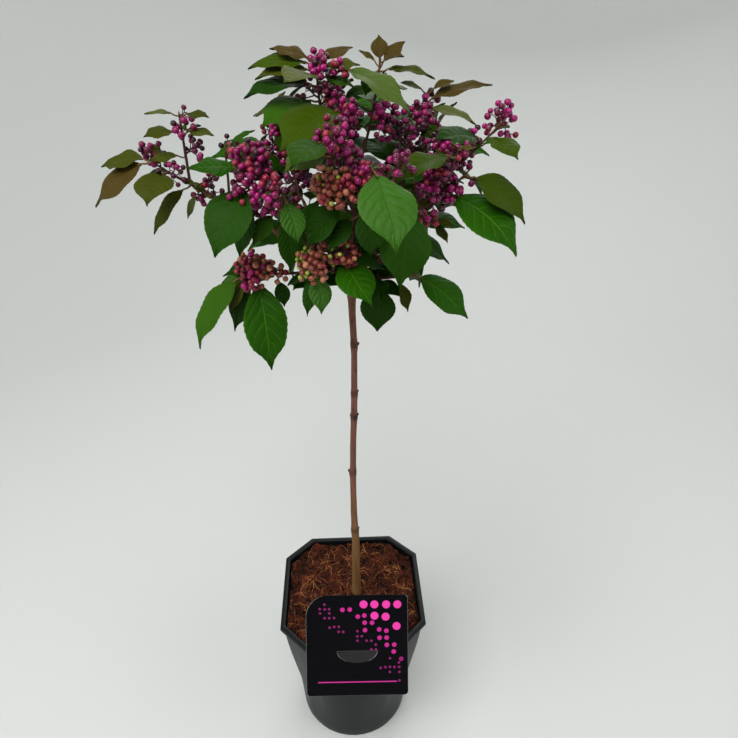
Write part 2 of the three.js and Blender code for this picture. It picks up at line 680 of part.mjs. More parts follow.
// Crosswise pairs of leaves with fruit at their feet, along one twig
function pairedRows(path, seed) {
  const draw = seededNumbers(seed);
  const leaves = [];
  const fruit = [];
  const last = PAIR_LENGTHS.length - 1;
  PAIR_LENGTHS.forEach((pairLength, pair) => {
    const at = PAIRS.first + ((1 - PAIRS.first) * pair) / last;
    const { along } = placeOn(path, at);
    const side = along.clone().cross(UP).normalize();
    const up = side.clone().cross(along);
    const turn = 90 * (pair % 2) + draw(-PAIRS.turnMost, PAIRS.turnMost);
    [0, 180].forEach((opposite) => {
      const round = radians(turn + opposite);
      const way = along.clone().multiplyScalar(PAIRS.lean)
        .addScaledVector(side, PAIRS.spread * Math.cos(round))
        .addScaledVector(up, PAIRS.spread * Math.sin(round))
        .normalize();
      const heading = degrees(Math.atan2(way.y, way.x));
      const rise = degrees(Math.asin(way.z)) - draw(...PAIRS.dip);
      leaves.push([at, heading, rise, pairLength * draw(...PAIRS.size)]);
    });
    const share = pair < last ? 1 : PAIR_FRUIT.lastShare;
    fruit.push([at, draw(0, 360), draw(...PAIR_FRUIT.radius) * share]);
  });
  return { leaves, fruit };
}

// Assembly
const plant = new THREE.Group();
const stem = makeStem();
plant.add(makePot(), makeSoil(), makeCard(), meshOf('trunk', stem, MATERIALS.bark));
place(solidOf(stem), 'trunk', 'limb');

const tips = {};
const leads = {};
Object.entries(BOUGHS).forEach(([name, sizes]) => {
  const path = boughPath(sizes);
  const geometry = limb(path, taper(path.length, BOUGH_RADIUS), BOUGH_SIDES);
  tips[name] = path[path.length - 1];
  leads[name] = tips[name].clone().sub(path[path.length - 2]).normalize();
  place(solidOf(geometry), 'bough', 'limb');
  plant.add(meshOf(`bough_${name}`, geometry, MATERIALS.bough));
});

const twigs = { ...TWIGS, ...PAIRED_TWIGS };
const paths = growTwigs(twigs, tips, leads);
Object.keys(PAIRED_TWIGS).filter((name) => paths[name]).forEach((name, index) => {
  twigs[name] = { ...twigs[name], ...pairedRows(paths[name], PAIR_SEED + index) };
});
const grown = Object.entries(twigs).filter(([name]) => paths[name]);
grown.forEach(([name, twig]) => twig.fruit.forEach((row) => growFruit(paths[name], twig.mass, row)));
grown.forEach(([name, twig]) => twig.leaves.forEach((row) => growLeaf(paths[name], twig.mass, row)));

Object.entries(masses).forEach(([name, solids]) => {
  const joined = solids.reduce((sum, solid) => sum.add(solid));
  const [largest] = joined.decompose().sort((a, b) => b.volume() - a.volume());
  plant.add(meshOf(`foliage_${name}`, geometryOf(largest), MATERIALS.foliage));
});

export default plant;
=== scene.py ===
# %% [markdown]
# # A standard beautyberry in its pot
#
# This lesson dresses the imported model of a small potted shrub, until it looks like the real plant.
# A beautyberry is grown here as a standard: one clear stem, and on top of it an open crown of drooping
# leaves with clusters of small magenta berries. It stands in a black nursery pot with a card on its rim.
#
# ## Load the frame
#
# The imported model is the frame that everything is fitted to. It is loaded first, and everything is
# deselected, because an operator acts on whatever is selected.

# %% Load the frame
from math import asin, atan2, cos, degrees, hypot, pi, radians, sin, tan

import bmesh
import bpy
import numpy as np
from mathutils import Euler, Matrix, Vector, noise
from mathutils.bvhtree import BVHTree


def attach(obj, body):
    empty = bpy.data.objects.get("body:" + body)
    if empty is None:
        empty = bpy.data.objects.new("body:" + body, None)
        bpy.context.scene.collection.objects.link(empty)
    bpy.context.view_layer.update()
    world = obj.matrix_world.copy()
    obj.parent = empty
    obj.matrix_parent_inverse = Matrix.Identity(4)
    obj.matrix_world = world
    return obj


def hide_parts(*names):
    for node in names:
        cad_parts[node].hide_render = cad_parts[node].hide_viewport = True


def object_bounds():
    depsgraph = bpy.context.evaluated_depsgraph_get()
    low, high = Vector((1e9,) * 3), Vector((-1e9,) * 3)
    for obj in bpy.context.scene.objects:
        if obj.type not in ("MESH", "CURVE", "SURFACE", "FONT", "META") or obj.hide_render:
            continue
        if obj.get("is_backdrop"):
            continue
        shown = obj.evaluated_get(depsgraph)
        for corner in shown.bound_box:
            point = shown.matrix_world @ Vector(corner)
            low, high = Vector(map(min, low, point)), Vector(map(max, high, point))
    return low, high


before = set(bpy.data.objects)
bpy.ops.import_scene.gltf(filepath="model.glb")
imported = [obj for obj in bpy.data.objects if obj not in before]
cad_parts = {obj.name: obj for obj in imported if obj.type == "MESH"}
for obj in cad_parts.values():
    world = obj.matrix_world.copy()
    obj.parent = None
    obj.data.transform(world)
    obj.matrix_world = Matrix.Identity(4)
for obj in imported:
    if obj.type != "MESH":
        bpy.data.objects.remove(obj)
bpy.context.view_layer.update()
bpy.ops.object.select_all(action="DESELECT")
MM = 0.001
nodes = sorted(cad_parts)

# %% [markdown]
# ## The camera
#
# The plant was seen from a little above its crown, looking down at it, from less than half a metre away.
# That short distance is why the pot looks so small below the crown. The camera's place, tilt and focal
# length were worked out from the pot's square rim, its round foot and the upright stem.

# %% Set the camera
IMAGE_WIDTH = 738
FOCAL_LENGTH_IN_PIXELS = 620
SENSOR_WIDTH = 36.0
CAMERA_PLACE = Vector((17, -423, 689)) * MM
CAMERA_PITCH = 31.4

camera_data = bpy.data.cameras.new("camera")
camera_data.sensor_width = SENSOR_WIDTH
camera_data.lens = SENSOR_WIDTH * FOCAL_LENGTH_IN_PIXELS / IMAGE_WIDTH
camera_data.clip_start = 0.01
camera = bpy.data.objects.new("camera", camera_data)
bpy.context.scene.collection.objects.link(camera)
camera.location = CAMERA_PLACE
camera.rotation_mode = "QUATERNION"
camera.rotation_quaternion = Euler((radians(90 - CAMERA_PITCH), 0, 0)).to_quaternion()
bpy.context.scene.camera = camera
print(f"camera of {camera_data.lens:.1f} mm at {CAMERA_PLACE.length:.3f} m from the pot's foot")

# %% [markdown]
# ## Colours and shader maths
#
# A finish is written here as Python expressions. Colours are named as they look on a screen, and turned
# into the linear colours that Blender computes with. A node's output is wrapped in a small class, so
# that `1 - mask` or `height * 2` adds the Math node by itself. Every other node comes from one method,
# which takes the node's type, its settings, and the values or links of its sockets.

# %% Define screen colours and the wrapped socket
def screen(red, green, blue):
    """A colour as a screen shows it, from 0 to 255, as a linear colour."""
    shares = np.array([red, green, blue]) / 255
    linear = np.where(shares <= 0.04045, shares / 12.92, ((shares + 0.055) / 1.055) ** 2.4)
    return (*[float(channel) for channel in linear], 1.0)


class Value:
    """A node's output that Python can add, subtract and multiply."""

    def __init__(self, finish, socket):
        self.finish = finish
        self.socket = socket

    def math(self, operation, first, second):
        return self.finish.node("ShaderNodeMath", {"operation": operation}, {0: first, 1: second})

    def __add__(self, other):
        return self.math("ADD", self, other)

    def __radd__(self, other):
        return self.math("ADD", other, self)

    def __sub__(self, other):
        return self.math("SUBTRACT", self, other)

    def __rsub__(self, other):
        return self.math("SUBTRACT", other, self)

    def __mul__(self, other):
        return self.math("MULTIPLY", self, other)

    def __rmul__(self, other):
        return self.math("MULTIPLY", other, self)


# %% Define a finish
class Finish:
    """One material: node() makes its nodes, and shade() feeds its shader."""

    def __init__(self, name, **fixed):
        self.material = bpy.data.materials.new(name)
        self.material.use_nodes = True
        self.tree = self.material.node_tree
        self.shader = self.tree.nodes["Principled BSDF"]
        for socket, value in fixed.items():
            self.shader.inputs[socket.replace("_", " ")].default_value = value

    def feed(self, socket, value):
        """Links a wrapped output to a socket, or sets the socket to a plain value."""
        if isinstance(value, Value):
            self.tree.links.new(value.socket, socket)
        else:
            socket.default_value = value

    def node(self, kind, settings=None, sockets=None, output=0):
        """Adds a node of a type with its settings and sockets, and wraps one of its outputs."""
        made = self.tree.nodes.new(kind)
        settings = dict(settings or {})
        stops = settings.pop("stops", [])
        for name, value in settings.items():
            setattr(made, name, value)
        for _ in stops[2:]:
            made.color_ramp.elements.new(1.0)
        for index, (position, colour) in enumerate(stops):
            made.color_ramp.elements[index].position = position
            made.color_ramp.elements[index].color = colour
        for name, value in (sockets or {}).items():
            self.feed(made.inputs[name], value)
        return Value(self, made.outputs[output])

    def shade(self, **values):
        """Feeds the shader's own sockets, and gives back the material."""
        for socket, value in values.items():
            self.feed(self.shader.inputs[socket.replace("_", " ")], value)
        return self.material


# %% Define the patterns that several finishes share
def place_on(finish, stretch=(1, 1, 1)):
    """The piece's own coordinates in metres, stretched or squeezed along each axis."""
    place = finish.node("ShaderNodeTexCoord", output="Object")
    return finish.node("ShaderNodeMapping", {}, {"Vector": place, "Scale": stretch})


def cloud(finish, per_metre, detail=3.0, roughness=0.5, stretch=(1, 1, 1)):
    """Soft noise from 0 to 1, with so many spots to a metre."""
    sockets = {"Vector": place_on(finish, stretch), "Scale": per_metre}
    sockets |= {"Detail": detail, "Roughness": roughness}
    return finish.node("ShaderNodeTexNoise", {}, sockets)


def cells(finish, per_metre, feature="F1", stretch=(1, 1, 1)):
    """The distance to the middle or the edge of small cells."""
    sockets = {"Vector": place_on(finish, stretch), "Scale": per_metre}
    return finish.node("ShaderNodeTexVoronoi", {"feature": feature}, sockets)


def fade(finish, value, low, high, start=0.0, end=1.0):
    """A smooth change from start to end while the value goes from low to high."""
    sockets = {0: value, 1: low, 2: high, 3: start, 4: end}
    return finish.node("ShaderNodeMapRange", {"interpolation_type": "SMOOTHSTEP"}, sockets)


def blend(finish, share, first, second):
    """A colour between two colours."""
    return finish.node("ShaderNodeMix", {"data_type": "RGBA"}, {0: share, 6: first, 7: second}, 2)


def ramp(finish, value, stops):
    """A colour from a row of stops."""
    return finish.node("ShaderNodeValToRGB", {"stops": stops}, {0: value})


def bump(finish, height, distance, strength):
    """A relief of so many metres from a height from 0 to 1."""
    sockets = {"Height": height, "Distance": distance, "Strength": strength}
    return finish.node("ShaderNodeBump", {}, sockets)


def unsigned(finish, value):
    """A value without its sign."""
    return finish.node("ShaderNodeMath", {"operation": "ABSOLUTE"}, {0: value})


def parts_of(finish, place):
    """The three parts of a place."""
    return [finish.node("ShaderNodeSeparateXYZ", {}, {0: place}, part) for part in "XYZ"]


def mark(finish, name):
    """A number that is stored on the piece's own points."""
    return finish.node("ShaderNodeAttribute", {"attribute_name": name}, output="Fac")


# %% [markdown]
# ## Helpers for whole pieces
#
# The large pieces are modelled with operators, as by hand. The small ones that come in hundreds or
# thousands are written as arrays and joined. Either way a finished piece sits at the origin with its
# place in its mesh, rides on the plant's one body, and hides the nodes of the frame that it stands for.

# %% Define the helpers for whole pieces
BODY = "root"
GROWN_NODES = [name for name in nodes if name.startswith("foliage_")]


def select_only(piece):
    """Leaves edit mode, and makes one piece the only one that operators act on."""
    if bpy.context.mode != "OBJECT":
        bpy.ops.object.mode_set(mode="OBJECT")
    bpy.ops.object.select_all(action="DESELECT")
    piece.select_set(True)
    bpy.context.view_layer.objects.active = piece


def apply_modifier(piece, kind, **settings):
    """Adds a modifier with these settings and applies it at once."""
    select_only(piece)
    modifier = piece.modifiers.new(kind.lower(), kind)
    for name, value in settings.items():
        setattr(modifier, name, value)
    bpy.ops.object.modifier_apply(modifier=modifier.name)


def settle_in_place(piece):
    """Moves a piece's place, turn and scale into its mesh."""
    select_only(piece)
    bpy.ops.object.transform_apply(location=True, rotation=True, scale=True)


def join(main, *others):
    """Joins pieces into the first of them."""
    select_only(main)
    for other in others:
        other.select_set(True)
    bpy.ops.object.join()
    return main


def deliver(piece, name, finishes, slot, stands_for=()):
    """Names a finished piece, gives it its finishes and its body, and prints its size."""
    piece.name = name
    piece.data.name = name
    piece.data.materials.clear()
    for finish in finishes:
        piece.data.materials.append(finish)
    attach(piece, BODY)
    if stands_for:
        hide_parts(*stands_for)
    triangles = sum(len(face.vertices) - 2 for face in piece.data.polygons)
    size = [round(side / MM) for side in piece.dimensions]
    print(f"{name}: {triangles} triangles, {size[0]} x {size[1]} x {size[2]} mm")


# %% Define a pile of small shapes that ends as one mesh
class Pile:
    """Gathers the points and faces of many small shapes, in millimetres."""

    def __init__(self):
        self.points = []
        self.faces = []
        self.tones = []
        self.maps = []
        self.slots = []
        self.count = 0

    def add(self, points, faces, tone, places=None, slots=None):
        """Adds one shape, with a tone for all of it or for each point, its map and its faces' slots."""
        points = np.asarray(points, float)
        self.faces += [[corner + self.count for corner in face] for face in faces]
        self.points.append(points)
        self.tones.append(np.broadcast_to(np.asarray(tone, float), (len(points),)))
        self.maps.append(np.zeros((len(points), 2)) if places is None else np.asarray(places, float))
        self.slots += [0] * len(faces) if slots is None else list(slots)
        self.count += len(points)

    def mesh(self, name, crease=None):
        """The joined mesh, with its tone and its map stored on its points and corners."""
        data = bpy.data.meshes.new(name)
        data.from_pydata((np.concatenate(self.points) * MM).tolist(), [], self.faces)
        data.update()
        tone = data.attributes.new("tone", "FLOAT", "POINT")
        tone.data.foreach_set("value", np.concatenate(self.tones).astype(np.float32))
        corners = np.zeros(len(data.loops), np.int32)
        data.loops.foreach_get("vertex_index", corners)
        layer = data.uv_layers.new(name="leaf")
        layer.data.foreach_set("uv", np.concatenate(self.maps)[corners].astype(np.float32).ravel())
        piece = bpy.data.objects.new(name, data)
        bpy.context.scene.collection.objects.link(piece)
        for _ in range(max(self.slots) + 1):
            data.materials.append(None)
        data.polygons.foreach_set("material_index", np.array(self.slots, np.int32))
        data.polygons.foreach_set("use_smooth", np.ones(len(data.polygons), bool))
        if crease is not None:
            select_only(piece)
            bpy.ops.object.shade_smooth_by_angle(angle=radians(crease))
        return piece


# %% [markdown]
# ## The stage and the light
#
# The plant stands on a plain pale floor that curves up into a plain wall all round, far enough away that
# a view from any side still sees it whole. It could be a profile that is spun round the upright axis.
# Here a disc's rim is extruded ring by ring, and each ring is lifted and widened along a quarter turn.
# The light is soft: one wide lamp above and in front, a weaker one on each side and one behind, and a
# little light from everywhere. The standard view transform keeps the colours as they are named.

# %% Make the floor and the wall round it
STAGE_RADIUS = 1.9
STAGE_BEND = 0.9
STAGE_HEIGHT = 3.0
STAGE_SIDES = 64
BEND_STEPS = 10
FLAT_RADIUS = STAGE_RADIUS - STAGE_BEND

bpy.ops.mesh.primitive_circle_add(vertices=STAGE_SIDES, radius=FLAT_RADIUS, fill_type="NGON")
floor = bpy.context.object
bpy.ops.object.mode_set(mode="EDIT")
bpy.ops.mesh.select_mode(type="EDGE")
turned = 0.0
radius = FLAT_RADIUS
for step in range(1, BEND_STEPS + 1):
    angle = pi / 2 * step / BEND_STEPS
    next_radius = FLAT_RADIUS + STAGE_BEND * sin(angle)
    rise = STAGE_BEND * (cos(turned) - cos(angle))
    bpy.ops.mesh.extrude_region_move(TRANSFORM_OT_translate={"value": (0, 0, rise)})
    grow = next_radius / radius
    bpy.ops.transform.resize(value=(grow, grow, 1), center_override=(0, 0, 0))
    turned = angle
    radius = next_radius
bpy.ops.mesh.extrude_region_move(TRANSFORM_OT_translate={"value": (0, 0, STAGE_HEIGHT)})
bpy.ops.mesh.select_all(action="SELECT")
bpy.ops.mesh.normals_make_consistent(inside=True)
bpy.ops.object.mode_set(mode="OBJECT")
bpy.ops.object.shade_smooth()
floor.name = "floor"
stage_finish = Finish("pale_stage", Roughness=0.8)
stage_finish.shade(Base_Color=screen(205, 207, 205))
floor.data.materials.append(stage_finish.material)
floor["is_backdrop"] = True
print(f"floor of {2 * FLAT_RADIUS:.1f} m, with a wall {STAGE_RADIUS} m away")

# %% Set the lamps
LAMPS = {
    "lamp_above": {"place": (-0.35, -0.75, 1.75), "width": 1.1, "watts": 24},
    "lamp_left": {"place": (-1.3, -0.7, 1.0), "width": 0.9, "watts": 6},
    "lamp_right": {"place": (1.3, -0.5, 1.2), "width": 0.9, "watts": 6},
    "lamp_behind": {"place": (0.3, 1.3, 1.3), "width": 1.0, "watts": 9},
}
CROWN_MIDDLE = Vector((0, 0, 0.45))
SKY_COLOUR = (0.96, 0.98, 1.0, 1.0)
SKY_STRENGTH = 0.54

for name, lamp in LAMPS.items():
    light = bpy.data.lights.new(name, "AREA")
    light.size = lamp["width"]
    light.energy = lamp["watts"]
    holder = bpy.data.objects.new(name, light)
    holder.location = lamp["place"]
    aim_down = CROWN_MIDDLE - holder.location
    holder.rotation_euler = aim_down.to_track_quat("-Z", "Y").to_euler()
    bpy.context.scene.collection.objects.link(holder)
world = bpy.data.worlds.new("soft_world")
world.use_nodes = True
background = world.node_tree.nodes["Background"]
background.inputs["Color"].default_value = SKY_COLOUR
background.inputs["Strength"].default_value = SKY_STRENGTH
bpy.context.scene.world = world
bpy.context.scene.view_settings.view_transform = "Standard"
print(f"{len(LAMPS)} lamps")

# %% [markdown]
# ## The pot
#
# The pot is blown or moulded from thin black plastic. It is round at its foot and turns into a square
# with cut corners at its rim, where a rolled lip stiffens it. One way is a bridge between a circle and a
# square. Here the foot's circle is extruded upwards ring by ring, and each new ring settles on the pot's
# own rule, because the same rings then turn over the lip and go down inside, and the wall closes.

# %% Write down the pot's sizes and its rule
POT_HEIGHT = 169
POT_HALF_WIDTH = 70
POT_CUT_CORNER = 26.8
POT_TURN = 2.7
POT_WALL = 1.6
POT_FLOOR = 2.4
FOOT_RADIUS = 57
FOOT_ROUNDING = 2.4
NECK_HALF_WIDTH = 66.4
LIP_HEIGHT = 4.2
LIP_ROUNDING = 1.5
LIP_FOOT = POT_HEIGHT - LIP_HEIGHT
ROUND_SHARE = 0.1
CORNER_ANGLE = degrees(atan2(POT_HALF_WIDTH - POT_CUT_CORNER, POT_HALF_WIDTH))
SIDE_SHARES = (-1, -0.95, -0.8, -0.54, -0.27, 0, 0.27, 0.54, 0.8, 0.95, 1)
CUT_SHARES = (0.06, 0.25, 0.5, 0.75, 0.94)


def clamp(value):
    """A value that is held between 0 and 1."""
    return min(max(value, 0), 1)


def pot_angles():
    """The heading of each point of a ring, with points close to both sides of each corner."""
    side = [CORNER_ANGLE * share for share in SIDE_SHARES]
    cut = [CORNER_ANGLE + (90 - 2 * CORNER_ANGLE) * share for share in CUT_SHARES]
    return [90 * quarter + angle for quarter in range(4) for angle in side + cut]


def square_radius(angle, half_width):
    """How far a square with cut corners reaches at a heading."""
    cut_corner = 2 * half_width - POT_CUT_CORNER * half_width / POT_HALF_WIDTH
    sideways = abs(cos(radians(angle)))
    forwards = abs(sin(radians(angle)))
    return min(half_width / max(sideways, forwards), cut_corner / (sideways + forwards))


def pot_radius(angle, height):
    """How far the pot's wall reaches at a heading and a height: round below, and then ever squarer."""
    share = min(height / LIP_FOOT, 1)
    towards_square = clamp((share - ROUND_SHARE) / (1 - ROUND_SHARE))
    squareness = towards_square ** 2 * (3 - 2 * towards_square)
    half_width = FOOT_RADIUS + (NECK_HALF_WIDTH - FOOT_RADIUS) * share
    return half_width + (square_radius(angle, half_width) - half_width) * squareness


# %% Define how a ring is extruded and settles
def settle_ring(height, radius_at):
    """Sets the selected ring's points on their headings, at a height, each at its own radius."""
    shape = bmesh.from_edit_mesh(bpy.context.object.data)
    ring = [vertex for vertex in shape.verts if vertex.select]
    ring.sort(key=lambda vertex: atan2(vertex.co.y, vertex.co.x) % (2 * pi))
    angles = sorted((angle + POT_TURN) % 360 for angle in pot_angles())
    for vertex, angle in zip(ring, angles):
        radius = radius_at(angle - POT_TURN)
        vertex.co = Vector((radius * cos(radians(angle)), radius * sin(radians(angle)), height)) * MM
    bmesh.update_edit_mesh(bpy.context.object.data)


def extrude_ring(height, radius_at):
    """Extrudes the selected ring, and settles the new one."""
    bpy.ops.mesh.extrude_region_move(TRANSFORM_OT_translate={"value": (0, 0, MM)})
    settle_ring(height, radius_at)


def start_ring(height, radius_at):
    """A filled circle with the pot's number of points, in edit mode and settled."""
    bpy.ops.object.select_all(action="DESELECT")
    bpy.ops.mesh.primitive_circle_add(vertices=len(pot_angles()), radius=0.05, fill_type="NGON")
    bpy.ops.object.mode_set(mode="EDIT")
    bpy.ops.mesh.select_mode(type="EDGE")
    settle_ring(height, radius_at)
    return bpy.context.object


# %% Raise the pot's wall, turn over its lip and go down inside
WALL_STEPS = 14
FOOT_STEPS = 3
LIP_STEPS = 3
LIP_FOOT_ROUNDING = 0.6
step_height = (LIP_FOOT - FOOT_ROUNDING) / WALL_STEPS
outer_heights = [FOOT_ROUNDING + step_height * step for step in range(WALL_STEPS + 1)]

pot = start_ring(0, lambda angle: pot_radius(angle, 0) - FOOT_ROUNDING)
for step in range(1, FOOT_STEPS):
    bend = pi / 2 * step / FOOT_STEPS
    inset = FOOT_ROUNDING * (1 - sin(bend))
    extrude_ring(FOOT_ROUNDING * (1 - cos(bend)), lambda angle: pot_radius(angle, 0) - inset)
for height in outer_heights:
    extrude_ring(height, lambda angle: pot_radius(angle, height))
for step in range(LIP_STEPS + 1):
    bend = pi / 2 * step / LIP_STEPS
    reach = POT_HALF_WIDTH - LIP_FOOT_ROUNDING * (1 - sin(bend))
    height = LIP_FOOT + LIP_FOOT_ROUNDING * (1 - cos(bend))
    extrude_ring(height, lambda angle: square_radius(angle, reach))
for step in range(LIP_STEPS + 1):
    bend = pi / 2 * step / LIP_STEPS
    reach = POT_HALF_WIDTH - LIP_ROUNDING * (1 - cos(bend))
    height = POT_HEIGHT - LIP_ROUNDING * (1 - sin(bend))
    extrude_ring(height, lambda angle: square_radius(angle, reach))
for step in range(LIP_STEPS + 1):
    bend = pi / 2 * step / LIP_STEPS
    reach = NECK_HALF_WIDTH - POT_WALL + LIP_ROUNDING * (1 - sin(bend))
    height = POT_HEIGHT - LIP_ROUNDING * (1 - cos(bend))
    extrude_ring(height, lambda angle: square_radius(angle, reach))
for height in reversed(outer_heights[1:]):
    extrude_ring(height, lambda angle: pot_radius(angle, height) - POT_WALL)
extrude_ring(POT_FLOOR, lambda angle: pot_radius(angle, POT_FLOOR) - POT_WALL)
bpy.ops.mesh.edge_face_add()
bpy.ops.mesh.select_all(action="SELECT")
bpy.ops.mesh.normals_make_consistent(inside=False)
bpy.ops.object.mode_set(mode="OBJECT")

# %% Drill the drain holes and notch the foot
DRAIN_HOLES = 4
DRAIN_RADIUS = 5
DRAIN_CIRCLE = 38
DRAIN_SIDES = 24
DRILL_LENGTH = 12
NOTCH_CIRCLE = 56
NOTCH_SIZE = (8, 17, 2.4)

drills = []
for hole in range(DRAIN_HOLES):
    heading = 2 * pi * hole / DRAIN_HOLES
    place = Vector((DRAIN_CIRCLE * cos(heading), DRAIN_CIRCLE * sin(heading), 0)) * MM
    bpy.ops.mesh.primitive_cylinder_add(
        vertices=DRAIN_SIDES, radius=DRAIN_RADIUS * MM, depth=DRILL_LENGTH * MM, location=place
    )
    drills.append(bpy.context.object)
    notch_heading = heading + radians(POT_TURN)
    way = Vector((cos(notch_heading), sin(notch_heading), 0))
    bpy.ops.mesh.primitive_cube_add(size=1, location=way * NOTCH_CIRCLE * MM)
    notch = bpy.context.object
    notch.rotation_euler = (0, 0, notch_heading)
    notch.scale = Vector(NOTCH_SIZE) * MM
    drills.append(notch)
drill = join(*drills)
apply_modifier(pot, "BOOLEAN", object=drill, operation="DIFFERENCE", solver="EXACT")
bpy.data.objects.remove(drill)
select_only(pot)
bpy.ops.object.shade_smooth_by_angle(angle=radians(35))

# %% [markdown]
# ## The pot's finish
#
# Black polypropylene isn't quite black. It has a soft sheen with faint upright flow marks from moulding,
# a bloom of dust, and fine scuffs that break its gloss. The colour stays almost even, and the roughness
# does most of the work.

# %% Finish the pot
plastic = Finish("black_pot_plastic", Specular_IOR_Level=0.22)
flow_marks = cloud(plastic, 60, detail=4, stretch=(1, 1, 0.08))
dust = cloud(plastic, 25, detail=5, roughness=0.65)
scuffs = cloud(plastic, 900, detail=2)
dusty = fade(plastic, dust, 0.5, 0.85, 0.0, 0.28)
plastic.shade(
    Base_Color=blend(plastic, dusty, screen(8, 11, 13), screen(32, 36, 38)),
    Roughness=0.3 + flow_marks * 0.16 + scuffs * 0.1,
    Normal=bump(plastic, flow_marks * 0.7 + scuffs * 0.1, 0.0006, 0.5),
)
deliver(pot, "nursery_pot", [plastic.material], "pot_plastic", ["pot"])

# %% [markdown]
# ## The soil
#
# The pot is filled with coir: reddish-brown fibre and pith with paler strands lying in every direction,
# and dark gaps between them, which are painted shade: the bed's colour darkens towards its low hollows.
# The bed is a solid that follows the pot's inner wall, with a fine lumpy surface. The strands are
# thousands of thin bent tubes, which a seeded draw strews over it in darker and paler patches, because
# strands that cross and cast shadows can't be painted on.

# %% Fill the pot with the soil's bed
SOIL_LEVEL = 165.5
BED_TOP = SOIL_LEVEL - 2
SOIL_GAP = 0.3
SOIL_RINGS = 30
SOIL_RINGS_REACH_IN = 0.97
SOIL_SINK = 1.3
SOIL_SEED = 7
LUMPS = [(3.2, 11, 0), (3.0, 4.2, 3), (1.2, 1.7, 5)]
MOUND_HEIGHT = 1.2
MOUND_RADIUS = 22
BED_HEIGHTS = (20, 40, 60, 80, 100, 120, 140, 152, 159, BED_TOP - 1)
BED_EDGE = 1.5
STEM_X = 4.2
WALL_CLEAR = POT_WALL + SOIL_GAP


def soil_height(x, y):
    """The bed's surface in millimetres: lumps of three heights and widths, and a mound at the stem."""
    surface = SOIL_LEVEL - SOIL_SINK
    for height, width, level in LUMPS:
        surface += height * noise.noise(Vector((x / width, y / width, SOIL_SEED + level)))
    from_stem = hypot(x - STEM_X, y)
    return surface + MOUND_HEIGHT * max(0, 1 - from_stem / MOUND_RADIUS) ** 2


soil = start_ring(POT_FLOOR + SOIL_GAP, lambda angle: pot_radius(angle, POT_FLOOR) - WALL_CLEAR)
for height in BED_HEIGHTS:
    extrude_ring(height, lambda angle: pot_radius(angle, height) - WALL_CLEAR)
for ring in range(1, SOIL_RINGS + 1):
    share = 1 - SOIL_RINGS_REACH_IN * ring / SOIL_RINGS
    extrude_ring(BED_TOP, lambda angle: (pot_radius(angle, BED_TOP) - WALL_CLEAR) * share)
bpy.ops.mesh.edge_face_add()
bpy.ops.mesh.poke()
bpy.ops.mesh.select_all(action="SELECT")
bpy.ops.mesh.normals_make_consistent(inside=False)
bpy.ops.object.mode_set(mode="OBJECT")
apply_modifier(soil, "SUBSURF", levels=1, render_levels=1, subdivision_type="SIMPLE")
for vertex in soil.data.vertices:
    if vertex.co.z > (BED_TOP - BED_EDGE) * MM:
        near_top = clamp((vertex.co.z / MM - BED_TOP + BED_EDGE) / BED_EDGE)
        surface = soil_height(vertex.co.x / MM, vertex.co.y / MM)
        vertex.co.z += (surface * MM - vertex.co.z) * near_top
select_only(soil)
bpy.ops.object.shade_smooth_by_angle(angle=radians(60))

# %% Finish the soil's bed
coir = Finish("coir_soil", Roughness=0.95, Specular_IOR_Level=0.1)
bed_height = parts_of(coir, place_on(coir))[2]
# Painted shade: the bed's colour darkens towards its low hollows, by height alone.
painted_hollow_shade = fade(coir, bed_height, (SOIL_LEVEL - 3.4) * MM, (SOIL_LEVEL + 0.4) * MM)
pith = cloud(coir, 300, detail=5, roughness=0.7)
patches = cloud(coir, 55, detail=2)
flecks = cells(coir, 420)
# The ramp's input mixes the coir's own tone with the painted shade in the hollows.
depth = pith * 0.5 + flecks * 0.12 + painted_hollow_shade * 0.3 + patches * 0.5 - 0.18
coir.shade(
    Base_Color=ramp(coir, depth, [
        (0.34, screen(6, 3, 3)), (0.52, screen(30, 14, 8)), (0.7, screen(68, 29, 15)),
        (0.88, screen(116, 58, 28)),
    ]),
    Normal=bump(coir, pith + flecks * 0.6, 0.002, 1.0),
)
deliver(soil, "coir_bed", [coir.material], "coir_soil", ["soil"])


# %% Define a closed skin round a path, and a smoother path
ASLANT = np.array([0.31, 0.17, 1.0])


def unit(vector):
    return vector / np.linalg.norm(vector)


def tube(path, radii, sides, relief=None):
    """The points and faces of a closed skin round a path. Relief can swell it at a ring and a side."""
    path = np.asarray(path, float)
    ways = np.gradient(path, axis=0)
    ways /= np.linalg.norm(ways, axis=1)[:, None]
    across = unit(np.cross(ways[0], ASLANT))
    angles = 2 * pi * np.arange(sides) / sides
    points = []
    for ring, (centre, way, radius) in enumerate(zip(path, ways, radii)):
        across = unit(across - way * across.dot(way))
        up = np.cross(way, across)
        swell = np.ones(sides)
        if relief is not None:
            swell = np.array([relief(ring, side) for side in range(sides)])
        spread = np.outer(np.cos(angles) * swell, across) + np.outer(np.sin(angles) * swell, up)
        points.append(centre + radius * spread)
    faces = []
    for ring in range(len(path) - 1):
        low = ring * sides
        for side in range(sides):
            after = (side + 1) % sides
            faces.append([low + side, low + after, low + sides + after, low + sides + side])
    faces.append(list(range(sides))[::-1])
    last = (len(path) - 1) * sides
    faces.append([last + side for side in range(sides)])
    return np.concatenate(points), faces


def smoother(path, steps):
    """A path with so many steps between its points, on one curve through all of them."""
    path = np.asarray(path, float)
    ends = [2 * path[0] - path[1], *path, 2 * path[-1] - path[-2]]
    curve = []
    for before, start, end, after in zip(ends, ends[1:], ends[2:], ends[3:]):
        for share in np.arange(steps) / steps:
            bend = (
                2 * start
                + (end - before) * share
                + (2 * before - 5 * start + 4 * end - after) * share ** 2
                + (3 * start - before - 3 * end + after) * share ** 3
            )
            curve.append(bend / 2)
    curve.append(path[-1])
    return np.array(curve)


